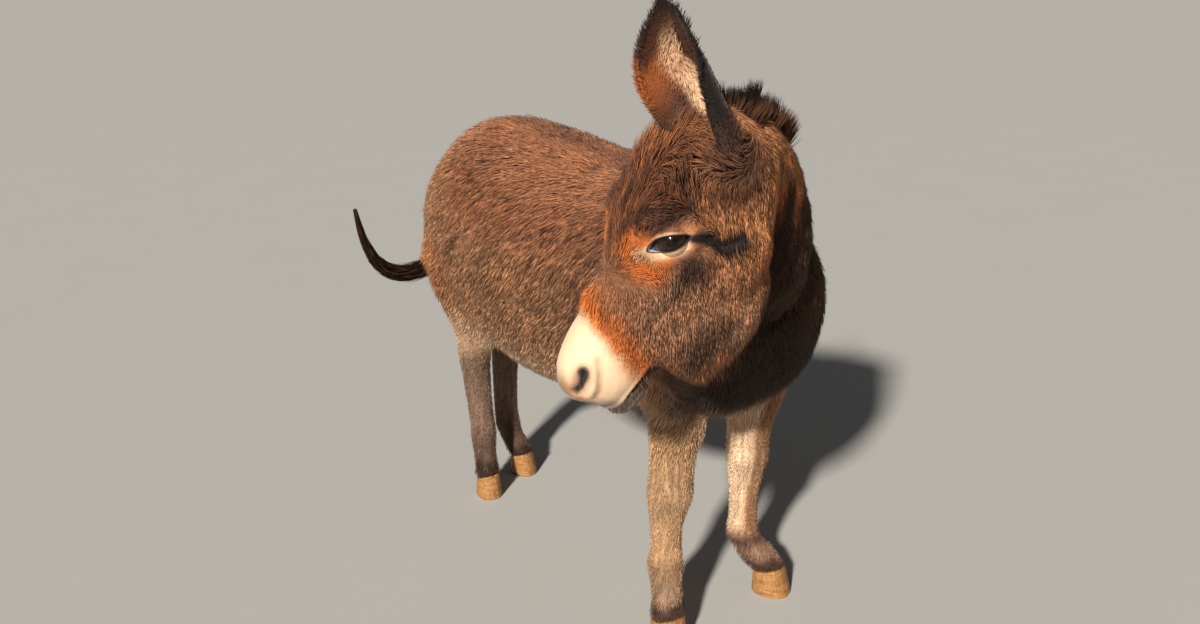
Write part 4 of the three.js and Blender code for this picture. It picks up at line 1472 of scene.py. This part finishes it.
class DONKEY_OT_lashes(bpy.types.Operator):
    """Sets lashes along the upper lids, and sparse whiskers round the lips and chin"""

    bl_idname = "donkey.lashes"
    bl_label = "Lashes and whiskers"

    def execute(self, context):
        rng = np.random.default_rng(50)
        colours = palette(context)
        share = np.array([0, 0.5, 1])[None, :, None]
        rim = np.repeat(slit_rim()[26:112:2], 2, axis=0)
        height = np.sqrt(np.maximum((EYE_RADIUS + LID) ** 2 - (rim**2).sum(1), CORNER_HEIGHT**2))
        root = np.column_stack([rim, height - 1 * MM])
        aim = unit(np.array([0.15, 0.05, 1.0]) + 0.16 * rng.normal(size=root.shape))
        droop = np.array([0.1, -0.45, 0.0])
        lashes = root[:, None] + 9 * MM * rng.uniform(0.7, 1.1, (len(root), 1, 1)) * (
            aim[:, None] * share + droop * share**2)
        both = [from_head(from_eye(lashes.reshape(-1, 3), side)).reshape(lashes.shape) for side in (1, -1)]
        skin = bpy.data.objects["skin"].data
        folded = one_side(to_head(points_of(skin)))
        lips = line_distance(folded, MOUTH)[0] < 24 * MM
        chin = blob(folded, [0, -0.415, -0.085], [0.03, 0.04, 0.03]) > 0.3
        density = (lips | chin) * (folded[:, 1] < -0.37)
        roots, normals, _, _ = sample(skin, density.astype(float), WHISKERS, rng)
        aim = unit(normals + 0.5 * aim_from_head([0, -0.7, -0.7]) + 0.25 * rng.normal(size=roots.shape))
        length = MM * rng.uniform(8, 22, (len(roots), 1, 1))
        whiskers = roots[:, None] + length * (aim[:, None] * share - np.array([0, 0, 0.25]) * share**2)
        paths = np.concatenate([*both, whiskers])
        widths = np.repeat([0.32 * MM, 0.2 * MM], [2 * len(lashes), len(whiskers)])[:, None]
        tones = np.repeat([colours.black, colours.tan], [2 * len(lashes), len(whiskers)], axis=0)
        places = inset(rng.random((len(paths), 2)))
        hairs = strands("lashes_and_whiskers", paths, widths, unit(paths[:, 0] - POLL) + [0.01, 0.02, 0.03],
                        np.repeat(tones[:, None], 3, axis=1), places)
        finish_piece(hairs, shared(coarse_hair), "dark_hair")
        return {"FINISHED"}


# ---------------------------------------------------------------- mane and tail

MANE_TUFTS, MANE_SINK = 9000, 0.03
TAIL_TUFTS, TAIL_LOCKS = 3800, 14

# The crest from the withers over the poll to the forelock: place, heading of its sideways axis in degrees,
# height of the hair and half width of its roots.
CREST = np.array([
    (0.1223, -0.129, 0.890, 0, 0.024, 0.012),
    (0.1277, -0.211, 0.912, 2, 0.040, 0.015),
    (0.1547, -0.327, 0.940, 20, 0.054, 0.018),
    (0.0952, -0.473, 1.002, 50, 0.048, 0.021),
    (-0.0137, -0.530, 1.045, 88, 0.070, 0.022),
    (-0.1539, -0.532, 1.070, 112, 0.046, 0.022),
    (-0.2126, -0.509, 1.030, 112, 0.016, 0.022),
])


class DONKEY_OT_mane(bpy.types.Operator):
    """Grows the mane: loose, upright tufts along the crest, black at their tips, and a soft brown forelock"""

    bl_idname = "donkey.mane"
    bl_label = "Mane"

    def execute(self, context):
        rng = np.random.default_rng(30)
        colours = palette(context)
        count = MANE_TUFTS
        t = 0.82 * rng.random(count)
        row = curve(CREST, t)
        tangent = tangent_of(CREST[:, :3], t)
        turn = np.radians(row[:, 3])
        side = np.stack([np.cos(turn), -np.sin(turn), 0 * turn], 1)
        side = unit(side - tangent * dot(side, tangent))
        out = unit(np.cross(tangent, side))
        out = out * np.where(out[:, 2:] < 0, -1, 1)
        spread = rng.normal(size=count).clip(-1.8, 1.8) / 1.8
        root = row[:, :3] + side * (spread * row[:, 5])[:, None] - out * MANE_SINK
        tall = 0.72 + 0.28 * lattice(np.floor(row[:, :3] / 0.016).astype(np.int64), 73)
        height = row[:, 4] * tall * rng.uniform(0.7, 1.0, count) * (1 - 0.45 * np.abs(spread))
        rise = ((height + MANE_SINK) / 1.15)[:, None]
        lean = out + 0.35 * spread[:, None] * side + 0.15 * tangent + 0.08 * rng.normal(size=(count, 3))
        lean = unit(lean + 0.45 * noise_vectors(root, 0.022, 71))
        share = np.array([0, 0.35, 0.75, 1])[None, :, None]
        bent = unit(lean + 0.6 * side * spread[:, None] + 0.3 * tangent)
        paths = root[:, None] + rise[:, None] * (lean[:, None] * share + 0.25 * bent[:, None] * share**2)
        tips, lock = gathered(root, paths[:, -1], MANE_LOCK, 0.48)
        paths = paths + (tips - paths[:, -1])[:, None] * share**1.5
        widths = np.array([1.0, 0.7]) * MM * rng.uniform(0.7, 1.2, (count, 1))
        soft = np.maximum(smooth(0.76, 0.86, t), 0.3 * smooth(0.5, 0.9, np.abs(spread) + 0.3 * (lock - 0.5)))
        brown = colours.body[None, None] * np.array([0.3, 0.45, 0.6, 0.7])[None, :, None]
        black = colours.black[None, None] * np.array([1.1, 0.8, 0.7, 0.8])[None, :, None]
        low = np.array([0.5, 0.15, 0.0, 0.0])[None, :] * (0.4 + 0.6 * lock[:, None])
        mixed = np.maximum(soft[:, None], low)[..., None]
        level = 0.75 + 0.4 * lock + 0.2 * rng.random(count)
        tones = (black + (brown - black) * mixed) * level[:, None, None]
        places = np.stack([inset(t), 0.5 + 0.3 * spread], 1)
        mane = strands("mane_hair", paths, widths, side, tones, places)
        finish_piece(mane, shared(coarse_hair), "dark_hair", "mane")
        return {"FINISHED"}


# The switch of the tail from the dock to its tip: place and half thickness.
TAIL = np.array([
    (0.1657, 0.541, 0.745, 0.020), (0.2017, 0.569, 0.675, 0.019), (0.1817, 0.597, 0.600, 0.021),
    (0.0597, 0.621, 0.560, 0.023), (-0.0183, 0.624, 0.550, 0.022), (-0.0823, 0.621, 0.582, 0.016),
    (-0.1213, 0.621, 0.650, 0.010), (-0.1403, 0.621, 0.735, 0.004),
])


class DONKEY_OT_tail(bpy.types.Operator):
    """Grows the switch of the tail: long overlapping locks along its curve"""

    bl_idname = "donkey.tail"
    bl_label = "Tail"

    def execute(self, context):
        rng = np.random.default_rng(40)
        colours = palette(context)
        count = TAIL_TUFTS
        start = rng.uniform(0.0, 0.84, count)
        steps = np.linspace(0, 1, 6)
        t = np.minimum(start[:, None] + rng.uniform(0.14, 0.26, (count, 1)) * steps, 1)
        row = curve(TAIL, t)
        tangent = tangent_of(TAIL[:, :3], t)
        side = unit(np.cross(tangent, [0, 1, 0.001]))
        lift = np.cross(side, tangent)
        lock = np.floor(rng.uniform(0, TAIL_LOCKS, (count, 1)))
        angle = 2 * np.pi * (lock + 0.9 * rng.random((count, 1))) / TAIL_LOCKS + 2.2 * start[:, None]
        angle = angle + 0.7 * (steps - 0.5) * rng.normal(size=(count, 1))
        ridge = 0.82 + 0.25 * np.sin(7 * angle[:, :1] + 11 * start[:, None])
        depth = np.sqrt(rng.uniform(0.15, 1, (count, 1))) * ridge * (0.75 + 0.45 * steps)
        offset = side * np.cos(angle)[..., None] + lift * np.sin(angle)[..., None]
        paths = row[..., :3] + offset * (depth * row[..., 3])[..., None]
        widths = 1.3 * MM * np.array([0.9, 1.0, 0.8, 0.5]) * rng.uniform(0.6, 1.1, (count, 1))
        base = colours.black * rng.uniform(0.6, 1.6, (count, 1))
        base = base + 0.12 * (colours.body - base) * (rng.random((count, 1)) < 0.25)
        tones = base[:, None] * np.linspace(0.8, 1.4, 6)[None, :, None]
        places = np.stack([inset(start), 0.01 + 0.98 * (angle[:, 0] / (2 * np.pi)) % 1], 1)
        tail = strands("tail_hair", paths, widths, offset[:, 0], tones, places.clip(0.01, 0.99))
        finish_piece(tail, shared(coarse_hair), "dark_hair", "tail_tuft")
        return {"FINISHED"}


# ---------------------------------------------------------------- stage

FLOOR_HALF = 200.0
CAMERA_AT = (-1.2363, -1.6185, 1.27)
CAMERA_LOOK = (0.606, 0.730, -0.315)
CAMERA_ROLL = math.radians(0.8)
SUN_WAY = (0.756, 0.385, -0.530)
FILL_WAY = (-0.6, 0.65, -0.45)
LAMP_DISTANCE = 6.0
SUN_POWER, FILL_POWER, SKY_POWER = 7.2, 6, 0.12
LENS = 30.75


class DONKEY_OT_stage(bpy.types.Operator):
    """Lays a pale floor, sets a warm slanting sun with weak sky and fill, and puts the camera by the head"""

    bl_idname = "donkey.stage"
    bl_label = "Stage"

    def execute(self, context):
        corners = FLOOR_HALF * np.array([(-1, -1, 0), (1, -1, 0), (1, 1, 0), (-1, 1, 0)])
        floor = make_piece("floor", corners, [(0, 1, 2, 3)])
        floor.data.materials.append(shared(painted_floor))
        world = bpy.data.worlds.new("soft_sky")
        context.scene.world = world
        world.use_nodes = True
        sky = world.node_tree.nodes["Background"]
        sky.inputs["Color"].default_value = (0.93, 0.95, 1.0, 1)
        sky.inputs["Strength"].default_value = SKY_POWER
        key = bpy.data.lights.new("key", "SUN")
        key.energy, key.angle, key.color = SUN_POWER, math.radians(4), (1.0, 0.94, 0.87)
        self.aim(key, SUN_WAY)
        fill = bpy.data.lights.new("fill", "AREA")
        fill.shape, fill.size, fill.energy, fill.color = "DISK", 4.0, FILL_POWER, (0.95, 0.97, 1.0)
        self.aim(fill, FILL_WAY)
        self.camera(context)
        return {"FINISHED"}

    def aim(self, lamp, direction):
        """Puts a lamp at its distance from the donkey's shoulder, shining along a direction."""
        holder = add_object(lamp.name, lamp)
        aim = Vector(direction).normalized()
        holder.location = Vector((0, -0.2, 0.75)) - LAMP_DISTANCE * aim
        holder.rotation_euler = aim.to_track_quat("-Z", "Y").to_euler()

    def camera(self, context):
        """At the height of a standing child, a little over a metre and a half from the head."""
        look = Vector(CAMERA_LOOK).normalized()
        level = Vector((look.y, -look.x, 0)).normalized()
        up = level.cross(look)
        right = math.cos(CAMERA_ROLL) * level - math.sin(CAMERA_ROLL) * up
        top = math.sin(CAMERA_ROLL) * level + math.cos(CAMERA_ROLL) * up
        data = bpy.data.cameras.new("camera")
        data.lens, data.sensor_width, data.clip_end = LENS, 36, 400
        holder = add_object("camera", data)
        turn = Matrix((right, top, -look)).transposed().to_4x4()
        holder.matrix_world = Matrix.Translation(CAMERA_AT) @ turn
        context.scene.camera = holder


# ---------------------------------------------------------------- add-on

OPERATORS = (
    DONKEY_OT_stage, DONKEY_OT_skin, DONKEY_OT_eyes, DONKEY_OT_hooves, DONKEY_OT_ears, DONKEY_OT_coat,
    DONKEY_OT_ear_hair, DONKEY_OT_lashes, DONKEY_OT_mane, DONKEY_OT_tail,
)


class DONKEY_PT_panel(bpy.types.Panel):
    """Lists the donkey's sizes, colours and pieces"""

    bl_label = "Donkey"
    bl_idname = "DONKEY_PT_panel"
    bl_space_type = "VIEW_3D"
    bl_region_type = "UI"
    bl_category = "Donkey"

    def draw(self, context):
        for group in (context.scene.donkey_sizes, context.scene.donkey_colours):
            for name in fields(group):
                self.layout.prop(group, name)
        for operator in OPERATORS:
            self.layout.operator(operator.bl_idname)


CLASSES = (DonkeyColours, DonkeySizes, *OPERATORS, DONKEY_PT_panel)


def register():
    """Registers the classes and puts their settings on the scene."""
    for cls in CLASSES:
        bpy.utils.register_class(cls)
    bpy.types.Scene.donkey_colours = PointerProperty(type=DonkeyColours)
    bpy.types.Scene.donkey_sizes = PointerProperty(type=DonkeySizes)


def unregister():
    """Takes the settings off the scene and unregisters the classes."""
    del bpy.types.Scene.donkey_sizes
    del bpy.types.Scene.donkey_colours
    for cls in reversed(CLASSES):
        bpy.utils.unregister_class(cls)


def main():
    """Registers the add-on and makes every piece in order."""
    register()
    bpy.context.scene.view_settings.view_transform = "Standard"
    for operator in OPERATORS:
        group, name = operator.bl_idname.split(".")
        getattr(getattr(bpy.ops, group), name)()


if __name__ == "__main__":
    main()
